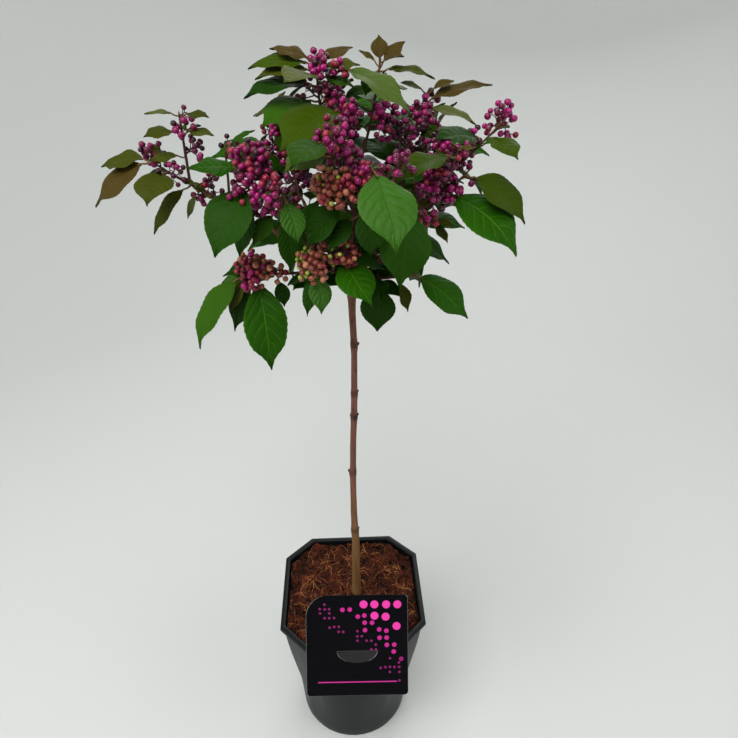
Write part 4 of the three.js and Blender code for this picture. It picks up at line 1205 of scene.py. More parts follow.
# %% Write down the sprays
TWIGS = {
    "left": ("left", "", 1, 187, 29, 49, [
        (1, 211, -48, 36, "slim olive"), (0.88, 225, -60, 16, "slim grey"),
        (0.15, 150, -10, 36, "broad mid"),
    ], [
        (0.65, 130, 8, "full dark"), (0.15, 120, 6, "dark"),
    ]),
    "left_out": ("left", "left", 1, 182, 33, 27, [
        (0.6, 262, -24, 32, "wide olive"), (1, 190, -38, 44, "bronze"), (0.5, 150, -20, 24, "green"),
        (1, 170, -12, 32, "olive"),
    ], [
        (0.95, 110, 6.5, "magenta"), (0.45, 290, 6, "dark"),
    ]),
    "left_up": ("left", "left", 1, 110, 80, 42, [
        (1, 193, 0, 16, "slim grey"), (0.75, 210, -5, 19, "broad olive"), (1, 343, -5, 16, "olive"),
        (0.75, 341, -5, 18, "olive"), (0.4, 205, -5, 18, "olive"),
    ], [
        (1, 340, 4, "dark"), (0.75, 290, 5, "magenta"), (0.45, 20, 6, "dark"),
    ]),
    "left_mid": ("left", "left", 0.45, 300, 84, 36, [
        (1, 10, 26, 18, "slim mid"), (0.6, 160, 0, 16, "slim green"),
    ], [
        (1, 60, 5, "dark"), (0.6, 200, 5, "dark"),
    ]),
    "front_left": ("front_left", "", 1, 218, 54, 58, [
        (0.98, 205, 5, 28, "broad green"), (0.85, 233, -50, 45, "broad deep"),
        (0.7, 205, -70, 36, "narrow deep"),
    ], [
        (1, 60, 9.5, "magenta"), (0.72, 260, 11, "magenta"), (0.5, 240, 9, "magenta"),
    ]),
    "front_left_in": ("front_left", "front_left", 0.35, 284, 36, 38, [
        (0.35, 207, -50, 22, "broad mid"), (1, 300, -60, 24, "bright"),
        (0.4, 316, -77, 34, "narrow deep"),
    ], [
        (1, 240, 7, "full dark"), (0.4, 20, 6, "dark"),
    ]),
    "top_left": ("top_left", "", 1, 190, 84, 65, [
        (0.65, 222, -18, 40, "broad mid"), (0.97, 178, 12, 24, "bronze"),
        (0.95, 204, 9, 36, "narrow lime"), (0.9, 212, 6, 33, "narrow olive"),
        (0.85, 232, -2, 32, "broad grey"), (0.78, 204, 1, 42, "narrow deep"),
        (0.95, 30, 16, 22, "bronze"), (0.92, 350, 12, 22, "olive"), (0.85, 338, -14, 20, "mid"),
        (0.55, 40, -10, 34, "mid"),
    ], [
        (0.98, 60, 4, "magenta"), (0.85, 320, 7, "magenta"), (0.62, 345, 9, "magenta"),
        (0.68, 200, 9, "dark"),
    ]),
    "top_left_out": ("top_left", "top_left", 0.74, 345, 38, 18, [
        (1, 322, -14, 52, "slim light"),
    ], [
        (0.9, 300, 4, "rose"),
    ]),
    "top_left_in": ("top_left", "top_left", 0.25, 318, 48, 28, [
        (1, 234, -15, 56, "broad lime"),
    ], [
        (0.9, 300, 6, "magenta"),
    ]),
    "top": ("top", "", 1, 12, 78, 62, [
        (0.95, 245, -38, 20, "deep"), (0.78, 200, -22, 18, "deep"), (0.55, 210, 0, 18, "deep"),
        (0.94, 10, 38, 17, "wide bronze"), (0.95, 95, 66, 14, "wide bronze"),
        (0.96, 165, 28, 11, "bronze"), (1, 325, 8, 13, "bronze"), (0.92, 350, -10, 30, "slim olive"),
        (0.75, 60, -10, 34, "mid"), (0.6, 130, -12, 36, "mid"),
    ], [
        (0.55, 340, 9, "magenta"), (0.38, 335, 9, "magenta"), (0.78, 90, 6, "bare"),
    ]),
    "top_right": ("top_right", "", 1, 8, 68, 50, [
        (1, 194, 16, 14, "olive"), (1, 12, 16, 14, "bronze"), (0.85, 2, 12, 40, "slim bronze"),
        (0.8, 336, -14, 32, "slim grey"), (0.6, 120, -4, 34, "mid"), (0.4, 100, 0, 40, "mid"),
    ], [
        (0.85, 60, 6, "dark"), (0.55, 200, 9, "dark"), (0.5, 300, 10, "dark"), (0.4, 130, 6, "dark"),
    ]),
    "right": ("right", "", 1, 358, 44, 66, [
        (0.78, 218, 4, 38, "deep"), (0.84, 297, -18, 27, "broad lime"), (0.6, 100, -10, 30, "mid"),
        (0.45, 120, -10, 40, "deep"),
    ], [
        (0.96, 60, 9, "magenta"), (0.75, 180, 6, "dark"), (0.5, 200, 6, "dark"), (0.45, 90, 6, "dark"),
    ]),
    "right_in": ("right", "right", 0.3, 265, 44, 24, [
        (0.8, 211, -30, 26, "deep"),
    ], [
        (1, 250, 8, "magenta"),
    ]),
    "right_low": ("right_low", "", 1, 354, 44, 52, [
        (0.65, 322, -33, 56, "broad green"), (0.95, 344, -38, 44, "broad lime"),
        (0.9, 60, -20, 40, "mid"), (0.5, 80, -20, 36, "deep"),
    ], [
        (0.65, 300, 6, "magenta"), (0.5, 60, 6, "dark"), (0.9, 20, 5, "dark"),
    ]),
    "right_low_in": ("right_low", "right_low", 0.5, 296, 60, 36, [
        (1, 223, -12, 46, "slim lime"),
    ], [
        (0.55, 215, 8, "magenta"), (0.3, 215, 8, "dark"),
    ]),
    "right_low_down": ("right_low", "right_low", 0.25, 285, 0, 14, [
        (1, 345, -15, 12, "olive"), (0.8, 345, -50, 15, "olive"),
    ], [
        (1, 280, 4, "rose"),
    ]),
    "front": ("front", "", 1, 284, 46, 68, [
        (1, 288, -46, 46, "broad bright"), (0.6, 291, -78, 30, "deep"), (0.3, 215, -45, 24, "deep"),
        (0.35, 60, -50, 36, "deep"),
    ], [
        (0.7, 215, 7, "rose"), (0.62, 20, 9, "magenta"), (0.45, 10, 8, "magenta"),
    ]),
    "front_in": ("front", "front", 0.2, 225, 64, 54, [
        (0.85, 229, -8, 30, "light"), (1, 245, -12, 34, "mid"), (0.3, 204, -50, 34, "deep"),
    ], [
        (1, 330, 8, "magenta"), (0.85, 180, 7, "magenta"), (0.42, 230, 10, "unripe"),
        (0.65, 40, 9, "magenta"),
    ]),
    "front_out": ("front", "front", 0.55, 330, 45, 26, [
        (0.7, 60, -15, 30, "mid"),
    ], [
        (1, 340, 7, "dark"), (0.45, 120, 8, "magenta"),
    ]),
    "front_right": ("front_right", "", 1, 318, 46, 42, [
        (1, 250, -60, 46, "broad deep"), (0.8, 62, -30, 36, "mid"), (0.5, 330, -62, 30, "deep"),
        (0.25, 235, -60, 38, "deep"),
    ], [
        (0.9, 330, 9, "dark"), (0.6, 200, 8, "rose"),
    ]),
    "low_right": ("low_right", "", 1, 350, 12, 28, [
        (0.1, 262, -77, 33, "wide deep"), (0.5, 330, -72, 22, "narrow olive"),
        (0.85, 341, -36, 46, "green"), (0.6, 75, -30, 40, "deep"),
    ], [
        (0.6, 60, 5, "dark"),
    ]),
    "low_front": ("low_front", "", 1, 250, 24, 42, [
        (1, 280, -60, 24, "bright"), (1, 240, -70, 26, "slim deep"), (0.5, 160, -30, 30, "deep"),
    ], [
        (1, 250, 8, "unripe"), (0.5, 200, 6, "unripe"), (1, 165, 7, "green"),
    ]),
    "low_front_in": ("low_front", "low_front", 0.4, 290, 50, 26, [
        (0.6, 306, -28, 38, "broad green"), (0.9, 20, -20, 30, "deep"),
    ], [
        (1, 270, 8, "unripe"), (0.6, 350, 8, "rose"),
    ]),
    "low_left": ("low_left", "", 1, 208, 10, 50, [
        (0.35, 196, 0, 38, "broad deep"), (0.92, 201, -57, 58, "slim mid"),
        (0.85, 192, -64, 28, "narrow olive"), (0.8, 292, -73, 62, "narrow green"),
        (0.75, 187, -68, 42, "narrow deep"), (0.5, 300, -72, 18, "deep"), (0.65, 150, -25, 40, "mid"),
    ], [
        (0.72, 250, 10, "rose"), (0.6, 120, 5, "rose"), (0.5, 290, 5, "unripe"),
    ]),
}
PAIRED_TWIGS = {
    "back_left": ("back_left", "", 1, 120, 34, 70),
    "back_left_up": ("back_left", "back_left", 0.12, 114, 62, 60),
    "back": ("back", "", 1, 92, 40, 72),
    "back_up": ("back", "back", 0.12, 110, 72, 58),
    "back_right": ("back_right", "", 1, 58, 32, 72),
    "back_right_up": ("back_right", "back_right", 0.12, 60, 66, 56),
    "back_low": ("back_low", "", 1, 88, 10, 58),
    "back_left_low": ("back_left_low", "", 1, 118, 12, 48),
    "back_right_low": ("back_right_low", "", 1, 60, 14, 48),
}
print(f"{len(TWIGS)} twigs with rows of their own, {len(PAIRED_TWIGS)} that follow the rule of pairs")

# %% Repeat the rule for twigs and for places along them
TWIG_RADIUS = (1.1, 0.7)
TWIG_BEND = 10
TWIG_STEPS = 5
TWIG_LEAD = 1.5
STEEPEST = 89
LAST_NODE = 0.98
GUARD = 0.7


def twig_path(start, lead, heading, rise, length):
    """A twig's path: on along its bough's end where it has one, then upwards in a slow bend."""
    path = [start]
    if lead is not None:
        path = [start + lead * JOINT_GAP, start + lead * (JOINT_GAP + TWIG_LEAD)]
    for step in range(TWIG_STEPS):
        climb = rise - TWIG_BEND / 2 + TWIG_BEND * (step + 0.5) / TWIG_STEPS
        path.append(path[-1] + aim(heading, min(STEEPEST, climb)) * length / TWIG_STEPS)
    return np.array(path)


def along(path, share):
    """The place at a share of a path's length, and the path's way there."""
    steps = np.linalg.norm(np.diff(path, axis=0), axis=1)
    left = steps.sum() * min(max(share, 0), 1)
    for index, step in enumerate(steps):
        if left <= step or index == len(steps) - 1:
            way = (path[index + 1] - path[index]) / step
            return path[index] + way * min(left, step), way
        left -= step


# %% Keep a record of what takes up space
taken = []


def solid_of(points, faces):
    """A shape that can be tested against others, with its box."""
    points = np.asarray(points)
    tree = BVHTree.FromPolygons([Vector(point) for point in points], faces)
    return {"tree": tree, "low": points.min(0), "high": points.max(0)}


def take(solid, mass, kind):
    """Keeps a shape, with the mass that it belongs to and what it is."""
    taken.append(solid | {"mass": mass, "kind": kind})


def meets(guard, applies):
    """Whether a shape crosses anything taken that the rule applies to."""
    return any(
        applies(other)
        and (guard["low"] <= other["high"]).all()
        and (other["low"] <= guard["high"]).all()
        and guard["tree"].overlap(other["tree"])
        for other in taken
    )


def foreign_to(mass):
    """A rule that applies to all that is outside a mass. Blades are part of the leaves already."""
    return lambda other: other["mass"] != mass and other["kind"] != "blade"


def own_blade(mass):
    """A rule that applies to the blades of a mass's own leaves."""
    return lambda other: other["mass"] == mass and other["kind"] == "blade"


stem_path = [(STEM_X + offset, 0, height) for height, offset in zip(STEM_HEIGHTS, STEM_OFFSETS)]
take(solid_of(*tube(stem_path, STEM_RADII, 9)), "trunk", "limb")
for name, path in bough_paths.items():
    take(solid_of(*tube(path, np.linspace(*BOUGH_RADIUS, len(path)), 5)), "bough", "limb")

# %% Grow the twigs
TWIG_SIDES = 6
FINE_TWIG_RADIUS = (1.05, 0.65)
TWIG_SINK = 1.5
twig_pile = Pile()
twig_paths = {}
masses = {}
for name, (mass, parent, at, heading, rise, length, *_) in {**TWIGS, **PAIRED_TWIGS}.items():
    if parent and parent not in twig_paths:
        continue
    start = along(twig_paths[parent], at)[0] if parent else tips[mass]
    path = twig_path(start, None if parent else leads[mass], heading, rise, length)
    free = path if parent else path[1:]
    guarded_radii = np.linspace(TWIG_RADIUS[0] + GUARD, TWIG_RADIUS[1] + GUARD, len(free))
    guard = solid_of(*tube(free, guarded_radii, 3))
    if meets(guard, foreign_to(mass)):
        continue
    twig_paths[name] = path
    masses[name] = mass
    take(solid_of(*tube(path, np.linspace(*TWIG_RADIUS, len(path)), 3)), mass, "twig")
    if not parent:
        path = np.vstack([path[0] - leads[mass] * TWIG_SINK, path])
    fine = smoother(path, 4)
    ends = (FINE_TWIG_RADIUS[0] if parent else BOUGH_RADIUS[1], FINE_TWIG_RADIUS[1])
    radii = np.interp(np.arange(len(fine)), [0, len(fine) - 1], ends)
    wobble = wood_draw.uniform(-0.08, 0.08, (len(fine), TWIG_SIDES))
    skin = tube(fine, radii, TWIG_SIDES, lambda ring, side: 1 + wobble[ring, side])
    twig_pile.add(*skin, wood_draw.random())
print(f"{len(twig_paths)} twigs grew")

# %% [markdown]
# ## Where the leaves and fruit go
#
# A seeded rule sets the far side's leaves in crosswise pairs, with a cluster of fruit at each pair's
# foot. The fruit claims its place first and then the leaves. A leaf that would cross something tries a
# few turns and dips, and is left out if none of them has room. This is how the frame's masses grew too.

# %% Set the far side's pairs
PAIR_LENGTHS = (46, 52, 44, 26)
PAIR_FIRST = 0.28
PAIR_LEAN = 0.5
PAIR_SPREAD = 0.86
PAIR_TURN_MOST = 20
PAIR_DIP = (15, 35)
PAIR_SIZE = (0.85, 1.15)
PAIR_FRUIT = (6, 9)
PAIR_LAST_FRUIT = 0.6
PAIR_SEED = 101
DRAW_FACTOR = 16807
DRAW_PRIME = 2147483647
PAIR_KINDS = ("deep", "mid", "green", "olive")
PAIR_FRUIT_KINDS = ("magenta", "dark", "magenta", "rose")


def seeded_numbers(seed):
    """The frame's own row of drawn numbers."""
    state = seed

    def draw(low, high):
        nonlocal state
        state = DRAW_FACTOR * state % DRAW_PRIME
        return low + (high - low) * state / DRAW_PRIME

    return draw


def paired_rows(path, seed):
    """Crosswise pairs of leaves with fruit at their feet, along one twig."""
    draw = seeded_numbers(seed)
    leaves = []
    fruit = []
    last = len(PAIR_LENGTHS) - 1
    for pair, pair_length in enumerate(PAIR_LENGTHS):
        at = PAIR_FIRST + (1 - PAIR_FIRST) * pair / last
        way = along(path, at)[1]
        side = unit(np.cross(way, (0, 0, 1)))
        up = np.cross(side, way)
        turn = 90 * (pair % 2) + draw(-PAIR_TURN_MOST, PAIR_TURN_MOST)
        for opposite in (0, 180):
            angle = radians(turn + opposite)
            outward = way * PAIR_LEAN + side * PAIR_SPREAD * cos(angle)
            outward = unit(outward + up * PAIR_SPREAD * sin(angle))
            heading = degrees(atan2(outward[1], outward[0]))
            rise = degrees(asin(outward[2])) - draw(*PAIR_DIP)
            leaves.append((at, heading, rise, pair_length * draw(*PAIR_SIZE), PAIR_KINDS[pair]))
        share = 1 if pair < last else PAIR_LAST_FRUIT
        fruit.append((at, draw(0, 360), draw(*PAIR_FRUIT) * share, PAIR_FRUIT_KINDS[pair]))
    return leaves, fruit


sprays = {}
for name in twig_paths:
    if name in TWIGS:
        sprays[name] = TWIGS[name][6:]
paired_names = [name for name in PAIRED_TWIGS if name in twig_paths]
for index, name in enumerate(paired_names):
    sprays[name] = paired_rows(twig_paths[name], PAIR_SEED + index)

# %% Claim the places of the fruit
FRUIT_SIZES = (1, 0.85, 0.7)


def ball_of(centre, radius):
    """A ball of eight faces that stands in for a cluster."""
    corners = np.vstack([np.eye(3), -np.eye(3)]) * radius + centre
    faces = [[a, b, c] for a in (0, 3) for b in (1, 4) for c in (2, 5)]
    return solid_of(corners, faces)


def fruit_centre(spot, heading, radius):
    """The middle of a cluster, up and out from the place on its twig."""
    return spot + aim(heading, 30) * radius * 0.7


clusters = []
for name, (leaves, fruit) in sprays.items():
    for at, heading, radius, kind in fruit:
        spot = along(twig_paths[name], at * LAST_NODE)[0]
        for size in FRUIT_SIZES:
            centre = fruit_centre(spot, heading, radius * size)
            if not meets(ball_of(centre, radius * size + GUARD), foreign_to(masses[name])):
                take(ball_of(centre, radius * size), masses[name], "fruit")
                clusters.append((spot, centre, radius * size, kind))
                break
print(f"{len(clusters)} clusters of fruit have a place")

# %% Repeat the rule for leaves
LEAF_WIDTH = 0.56
LEAF_DROOP = 18
LEAF_DROOP_PER_LENGTH = 0.45
LEAF_STEPS = 8
STALK = 5
STALK_PER_LENGTH = 0.05
STALK_LIFT = 10
STALK_STEEPEST = 80
TURN_SHARE = 0.7
TURN_MOST = 50
LIGHT_WAY = unit(np.array([0.1, -0.5, 0.86]))
POSES = [(0, 0), (0, -10), (12, 0), (-12, 0), (14, -14), (-14, -14), (24, 6), (-24, 6)]


def leaf_frame(heading, rise, turn=0.0):
    """The ways to a leaf's right and out of its upper side, for a turn about its midrib."""
    up = aim(heading, rise + 90)
    side = np.cross(aim(heading, rise), up)
    return side * cos(turn) - up * sin(turn), up * cos(turn) + side * sin(turn)


def turn_to_light(heading, rise):
    """How far a leaf turns about its midrib, most of the way to the light."""
    right, top = leaf_frame(heading, rise)
    needed = degrees(atan2(right.dot(LIGHT_WAY), top.dot(LIGHT_WAY))) * TURN_SHARE
    return radians(min(max(needed, -TURN_MOST), TURN_MOST))


class LeafLine:
    """A leaf's stalk and midrib, from its twig to its tip."""

    def __init__(self, spot, heading, rise, length, stalk=STALK):
        self.heading = heading
        self.length = length
        self.droop = LEAF_DROOP + LEAF_DROOP_PER_LENGTH * length
        self.start_rise = rise + self.droop / 2
        self.turn = turn_to_light(heading, rise)
        self.spot = spot
        reach = stalk + STALK_PER_LENGTH * length
        self.base = spot + aim(heading, min(STALK_STEEPEST, self.start_rise + STALK_LIFT)) * reach

    def rise_at(self, share):
        return self.start_rise - self.droop * share

    def midrib(self, share):
        steps = (np.arange(LEAF_STEPS) + 0.5) / LEAF_STEPS
        ways = [aim(self.heading, self.rise_at(share * step)) for step in steps]
        return self.base + np.sum(ways, axis=0) * self.length * share / LEAF_STEPS

    def frame(self, share):
        return leaf_frame(self.heading, self.rise_at(share), self.turn)


def leaf_width(share):
    """A leaf's width at a share of its length, as a share of its greatest width."""
    return sin(pi * share ** 0.86) ** 0.92 * (1 - 0.3 * share ** 5) if 0 < share < 1 else 0.0


# %% Test a leaf's room with the frame's own coarse shape
COARSE_STALK = 0.7
COARSE_LONG_LEAF = 42


def keeled_ring(centre, right, top, half, lift, keel):
    """Three corners round a place on a leaf: its right rim, its keel below and its left rim."""
    return [
        centre + right * half + top * lift,
        centre - top * keel,
        centre - right * half + top * lift,
    ]


def coarse_leaf(line, swell):
    """The frame's leaf of three-sided rings, swollen on all sides: the whole of it, and its blade."""
    length = line.length
    stations = (0.3, 0.68) if length < COARSE_LONG_LEAF else (0.2, 0.5, 0.8)
    keel = 0.9 + 0.012 * length + swell
    rings = []
    right, top = line.frame(0)
    half = COARSE_STALK + swell
    for centre in (line.spot, line.base):
        rings.append(keeled_ring(centre, right, top, half, half / 2, half))
    for share in stations:
        right, top = line.frame(share)
        half = LEAF_WIDTH * length * leaf_width(share) / 2 + swell
        rings.append(keeled_ring(line.midrib(share), right, top, half, swell, keel))
    tip = line.midrib(1) + aim(line.heading, line.rise_at(1)) * swell
    shapes = []
    for kept in (rings, rings[1:]):
        points = np.vstack([*kept, tip])
        faces = []
        for low in range(0, 3 * (len(kept) - 1), 3):
            for side in range(3):
                after = (side + 1) % 3
                faces.append([low + side, low + after, low + 3 + after, low + 3 + side])
        last = 3 * (len(kept) - 1)
        faces += [[last + side, last + (side + 1) % 3, len(points) - 1] for side in range(3)]
        faces.append([2, 1, 0])
        shapes.append(solid_of(points, faces))
    return shapes


leaves_grown = []
for name, (leaves, fruit) in sprays.items():
    mass = masses[name]
    for at, heading, rise, length, kind in leaves:
        spot = along(twig_paths[name], at * LAST_NODE)[0]
        for turn, dip in POSES:
            line = LeafLine(spot, heading + turn, rise + dip, length)
            whole, blade = coarse_leaf(line, GUARD)
            if not meets(whole, foreign_to(mass)) and not meets(blade, own_blade(mass)):
                whole, blade = coarse_leaf(line, 0)
                take(whole, mass, "leaf")
                take(blade, mass, "blade")
                leaves_grown.append((line, kind))
                break
print(f"{len(leaves_grown)} leaves grew")

# %% [markdown]
# ## The leaves
#
# A beautyberry's leaf is oval with a drawn-out tip and a toothed edge. Its surface sinks along the midrib
# and swells between the side veins, its edge waves a little, and its underside is paler. Each leaf is a
# thin closed shell of a few dozen faces: four strips above, two below, and a tooth in every edge face.
# Its own map says how far along and across it each point is, and the veins follow that map.

# %% Shape one leaf
LEAF_THICKNESS = 0.3
LEAF_FOOT = 0.35
SHORT_LEAF = 24
LONG_LEAF = 38
WIDTHS = {"slim": 0.62, "narrow": 0.84, "": 1.06, "broad": 1.2, "wide": 1.36}
leaf_draw = np.random.default_rng(23)


def fine_leaf(line, widen=1.0):
    """The points, faces, map and slots of one leaf."""
    length = line.length
    stations = 8 if length < SHORT_LEAF else 11 if length < LONG_LEAF else 14
    keel = 0.35 + 0.012 * length
    wave = leaf_draw.uniform(0.01, 0.03) * length
    wave_phase = leaf_draw.uniform(0, 2 * pi)
    wave_count = leaf_draw.uniform(1.5, 2.6)
    sideways = leaf_draw.uniform(-0.05, 0.05) * length
    twist = radians(leaf_draw.uniform(-18, 18))
    cup = leaf_draw.uniform(-0.1, 0.1)
    drawn_out = leaf_draw.uniform(0.3, 0.6)
    tooth = 0.08 + 0.0065 * length

    def surface(share, across, out=0.0, sink=0.0):
        """The place at a share of the length, from the left rim at -1 to the right rim at 1."""
        share = min(share, 1.0)
        right, top = leaf_frame(line.heading, line.rise_at(share), line.turn + twist * (share - 0.3))
        towards_tip = clamp((share - 0.66) / 0.26)
        narrow = 1 - drawn_out * towards_tip ** 2 * (3 - 2 * towards_tip)
        least = LEAF_FOOT if share < 0.5 else 0.0
        half = max(LEAF_WIDTH * length * leaf_width(share) / 2 * widen * narrow, least)
        reach = abs(across)
        rim_phase = 2 * pi * wave_count * share + wave_phase + (pi / 2 if across > 0 else 0)
        rim_wave = wave * reach ** 2 * sin(rim_phase)
        lift = -keel * (1 - reach) ** 2 + half * (0.1 * sin(pi * reach) + cup * reach ** 2)
        lift += rim_wave * min(1, half / (0.1 * length + 0.1)) - sink
        slide = sideways * sin(pi * share) * 0.5 * (1 - cos(pi * share))
        sign = np.sign(across)
        return line.midrib(share) + right * (half * across + sign * out + slide) + top * lift

    points = []
    places = []
    rows = []
    for station in range(stations):
        share = station / stations
        tooth_share = (station + 0.72) / stations
        row = []
        for across in (-1, -0.5, 0, 0.5, 1):
            row.append(len(points))
            points.append(surface(share, across))
            places.append((0.5 + across / 2, share))
        row.append(len(points))
        points.append(surface(share, 0, sink=LEAF_THICKNESS + 0.3))
        places.append((0.5, share))
        depth = tooth * (0.5 + leaf_width(tooth_share) / 2) if station < stations - 1 else 0.0
        for across in (-1, 1):
            row.append(len(points))
            points.append(surface(tooth_share, across, out=depth))
            places.append((0.5 + across / 2, tooth_share))
        rows.append(row)
    tip = len(points)
    points.append(surface(1.0, 0))
    places.append((0.5, 1.0))
    faces = []
    slots = []
    for station, row in enumerate(rows):
        left, inner_left, middle, inner_right, right, below, left_tooth, right_tooth = row
        if station < stations - 1:
            after = rows[station + 1]
            faces += [
                [left, inner_left, after[1], after[0], left_tooth],
                [inner_left, middle, after[2], after[1]],
                [middle, inner_right, after[3], after[2]],
                [inner_right, right, right_tooth, after[4], after[3]],
                [below, left, left_tooth, after[0], after[5]],
                [right, below, after[5], after[4], right_tooth],
            ]
        else:
            faces += [
                [left, inner_left, tip, left_tooth],
                [inner_left, middle, tip],
                [middle, inner_right, tip],
                [inner_right, right, right_tooth, tip],
                [below, left, left_tooth, tip],
                [right, below, tip, right_tooth],
            ]
        slots += [0, 0, 0, 0, 1, 1]
    first = rows[0]
    faces.append([first[0], first[5], first[4], first[3], first[2], first[1]])
    slots.append(1)
    return points, faces, places, slots


# %% [markdown]
# ## The leaves' finishes
#
# Leaves differ by age and light: deep green inside, fresh green in front, yellow-green where the sun
# comes through, olive and bronze at the tips of the shoots. Each kind has a plain base colour. On it lie
# the veins, a little paler, blotches of growth, and a relief that swells between the veins.

# %% Finish the leaves
VEINS_PER_SIDE = 6.0


def leaf_finish(name, blade, vein, roughness, relief, vein_share, gloss=0.07):
    """A leaf's upper or lower side: a plain colour with veins that follow the leaf's own map."""
    finish = Finish(name, Specular_IOR_Level=gloss)
    across, upwards, _ = parts_of(finish, finish.node("ShaderNodeUVMap", {"uv_map": "leaf"}))
    tone = mark(finish, "tone")
    reach = unsigned(finish, across * 2 - 1)
    sway = cloud(finish, 120, detail=2) - 0.5
    other_side = fade(finish, across, 0.499, 0.501, 0.0, 0.4)
    climb = upwards - reach * 0.16 - reach * reach * 0.12
    phase = climb * (VEINS_PER_SIDE + tone * 1.8) + other_side + sway * 0.5
    panel = finish.node("ShaderNodeMath", {"operation": "FRACT"}, {0: phase})
    from_vein = 0.5 - unsigned(finish, panel - 0.5)
    side_vein = fade(finish, from_vein, 0.01, 0.075, 1.0, 0.0) * fade(finish, reach, 0.5, 0.95, 1.0, 0.0)
    midrib = fade(finish, reach, 0.012, 0.05, 1.0, 0.0) * fade(finish, upwards, 0.7, 1.0, 1.0, 0.2)
    net_line = fade(finish, cells(finish, 620, "DISTANCE_TO_EDGE"), 0.0, 0.16, 1.0, 0.0)
    inside = fade(finish, reach, 0.02, 0.3) * fade(finish, reach, 0.8, 1.0, 1.0, 0.4)
    swell = fade(finish, from_vein, 0.0, 0.4) * inside
    puckers = cloud(finish, 210, detail=3)
    blotches = cloud(finish, 60, detail=3)
    margin = fade(finish, reach, 0.88, 1.0)
    veins = finish.node("ShaderNodeMath", {"operation": "MAXIMUM"}, {0: side_vein * 0.7, 1: midrib})
    dark_blade = tuple(channel * 0.66 for channel in blade[:3]) + (1.0,)
    pale_blade = tuple(min(channel * 1.4, 1.0) for channel in blade[:3]) + (1.0,)
    grown = blend(finish, tone * 0.6 + blotches * 0.4, dark_blade, pale_blade)
    return finish.shade(
        Base_Color=blend(finish, veins * vein_share + margin * 0.1, grown, vein),
        Roughness=roughness + puckers * 0.16 - veins * 0.04,
        Normal=bump(finish, swell * 0.45 + puckers * 0.7 - net_line * 0.05 - midrib * 0.4, relief, 0.8),
    )


LEAF_KINDS = {
    "deep": leaf_finish("leaf_deep", screen(23, 55, 0), screen(62, 88, 16), 0.46, 0.0007, 0.18),
    "green": leaf_finish("leaf_green", screen(30, 74, 0), screen(92, 130, 30), 0.42, 0.0009, 0.34),
    "mid": leaf_finish("leaf_mid", screen(38, 72, 2), screen(84, 110, 28), 0.46, 0.0006, 0.18),
    "bright": leaf_finish(
        "leaf_bright", screen(42, 82, 12), screen(66, 104, 24), 0.44, 0.0014, 0.12, 0.14
    ),
    "lime": leaf_finish("leaf_lime", screen(46, 64, 0), screen(84, 98, 22), 0.46, 0.0006, 0.18),
    "light": leaf_finish("leaf_light", screen(68, 88, 28), screen(96, 112, 50), 0.46, 0.0006, 0.18, 0.14),
    "olive": leaf_finish("leaf_olive", screen(56, 62, 8), screen(90, 90, 30), 0.46, 0.0006, 0.18),
    "bronze": leaf_finish("leaf_bronze", screen(66, 54, 18), screen(104, 76, 34), 0.46, 0.0006, 0.2),
    "grey": leaf_finish("leaf_grey", screen(68, 74, 30), screen(98, 98, 54), 0.5, 0.0006, 0.2, 0.14),
}
under_green = leaf_finish("leaf_underside", screen(66, 82, 32), screen(98, 112, 60), 0.6, -0.0006, 0.4)
under_bronze = leaf_finish(
    "leaf_bronze_underside", screen(76, 54, 32), screen(108, 80, 54), 0.6, -0.0006, 0.4
)

# %% Grow the leaves and their stalks
leaf_piles = {kind: Pile() for kind in LEAF_KINDS}
stalk_pile = Pile()


def grow_leaf(line, kind):
    """Adds a leaf to its colour's pile, with its width from the first word of its kind."""
    width, _, colour = kind.rpartition(" ")
    points, faces, places, slots = fine_leaf(line, WIDTHS[width])
    leaf_piles[colour].add(points, faces, leaf_draw.random(), places, slots)
    middle = (line.spot + line.base) / 2 - np.array([0, 0, 0.6])
    run = smoother([line.spot, middle, line.base, line.midrib(0.05)], 3)
    thick = 0.42 + 0.007 * line.length
    radii = np.interp(np.linspace(0, 1, len(run)), [0, 0.15, 1], [thick * 1.4, thick, thick * 0.8])
    stalk_pile.add(*tube(run, radii, 5), leaf_draw.random())


for line, kind in leaves_grown:
    grow_leaf(line, kind)

# %% [markdown]
# ## Young shoots
#
# Between the large leaves sit this summer's short shoots, a few millimetres of twig with two small
# leaves, and every twig ends in a pointed bud. They carry the plant's rule on to finer twigs than the
# frame has. Near the stem's head, on the boughs, their leaves are larger and darker and fill the crown
# from inside. A shoot is left out where a large leaf is in its way, so that the crown's gaps stay open.

# %% Grow the young shoots and buds
SHOOT_SPACING = 24
SHOOT_LENGTH = (4, 10)
SHOOT_LEAF = (6, 12)
SHOOT_ROOM = 2.0
INNER_SHOOTS = 5
INNER_LEAF = (13, 25)
YOUNG_STALK = 1.0
YOUNG_KINDS = ("olive", "green", "bronze", "mid", "olive")
INNER_KINDS = ("deep", "deep", "mid")
shoot_draw = np.random.default_rng(61)
bud_pile = Pile()
leaf_shapes = [other for other in taken if other["kind"] == "leaf"]


def clear_of_leaves(place, room):
    """Whether a place is outside the reach of every large leaf."""
    for shape in leaf_shapes:
        if (place > shape["low"] - room).all() and (place < shape["high"] + room).all():
            if shape["tree"].find_nearest(Vector(place), room)[0] is not None:
                return False
    return True


def add_bud(place, way, size):
    """A pointed bud on a twig's end."""
    path = [place - way * 0.4] + [place + way * size * reach for reach in (0.5, 1.3, 2.3)]
    radii = [size * share for share in (0.5, 0.62, 0.42, 0.06)]
    bud_pile.add(*tube(path, radii, 5), shoot_draw.random())


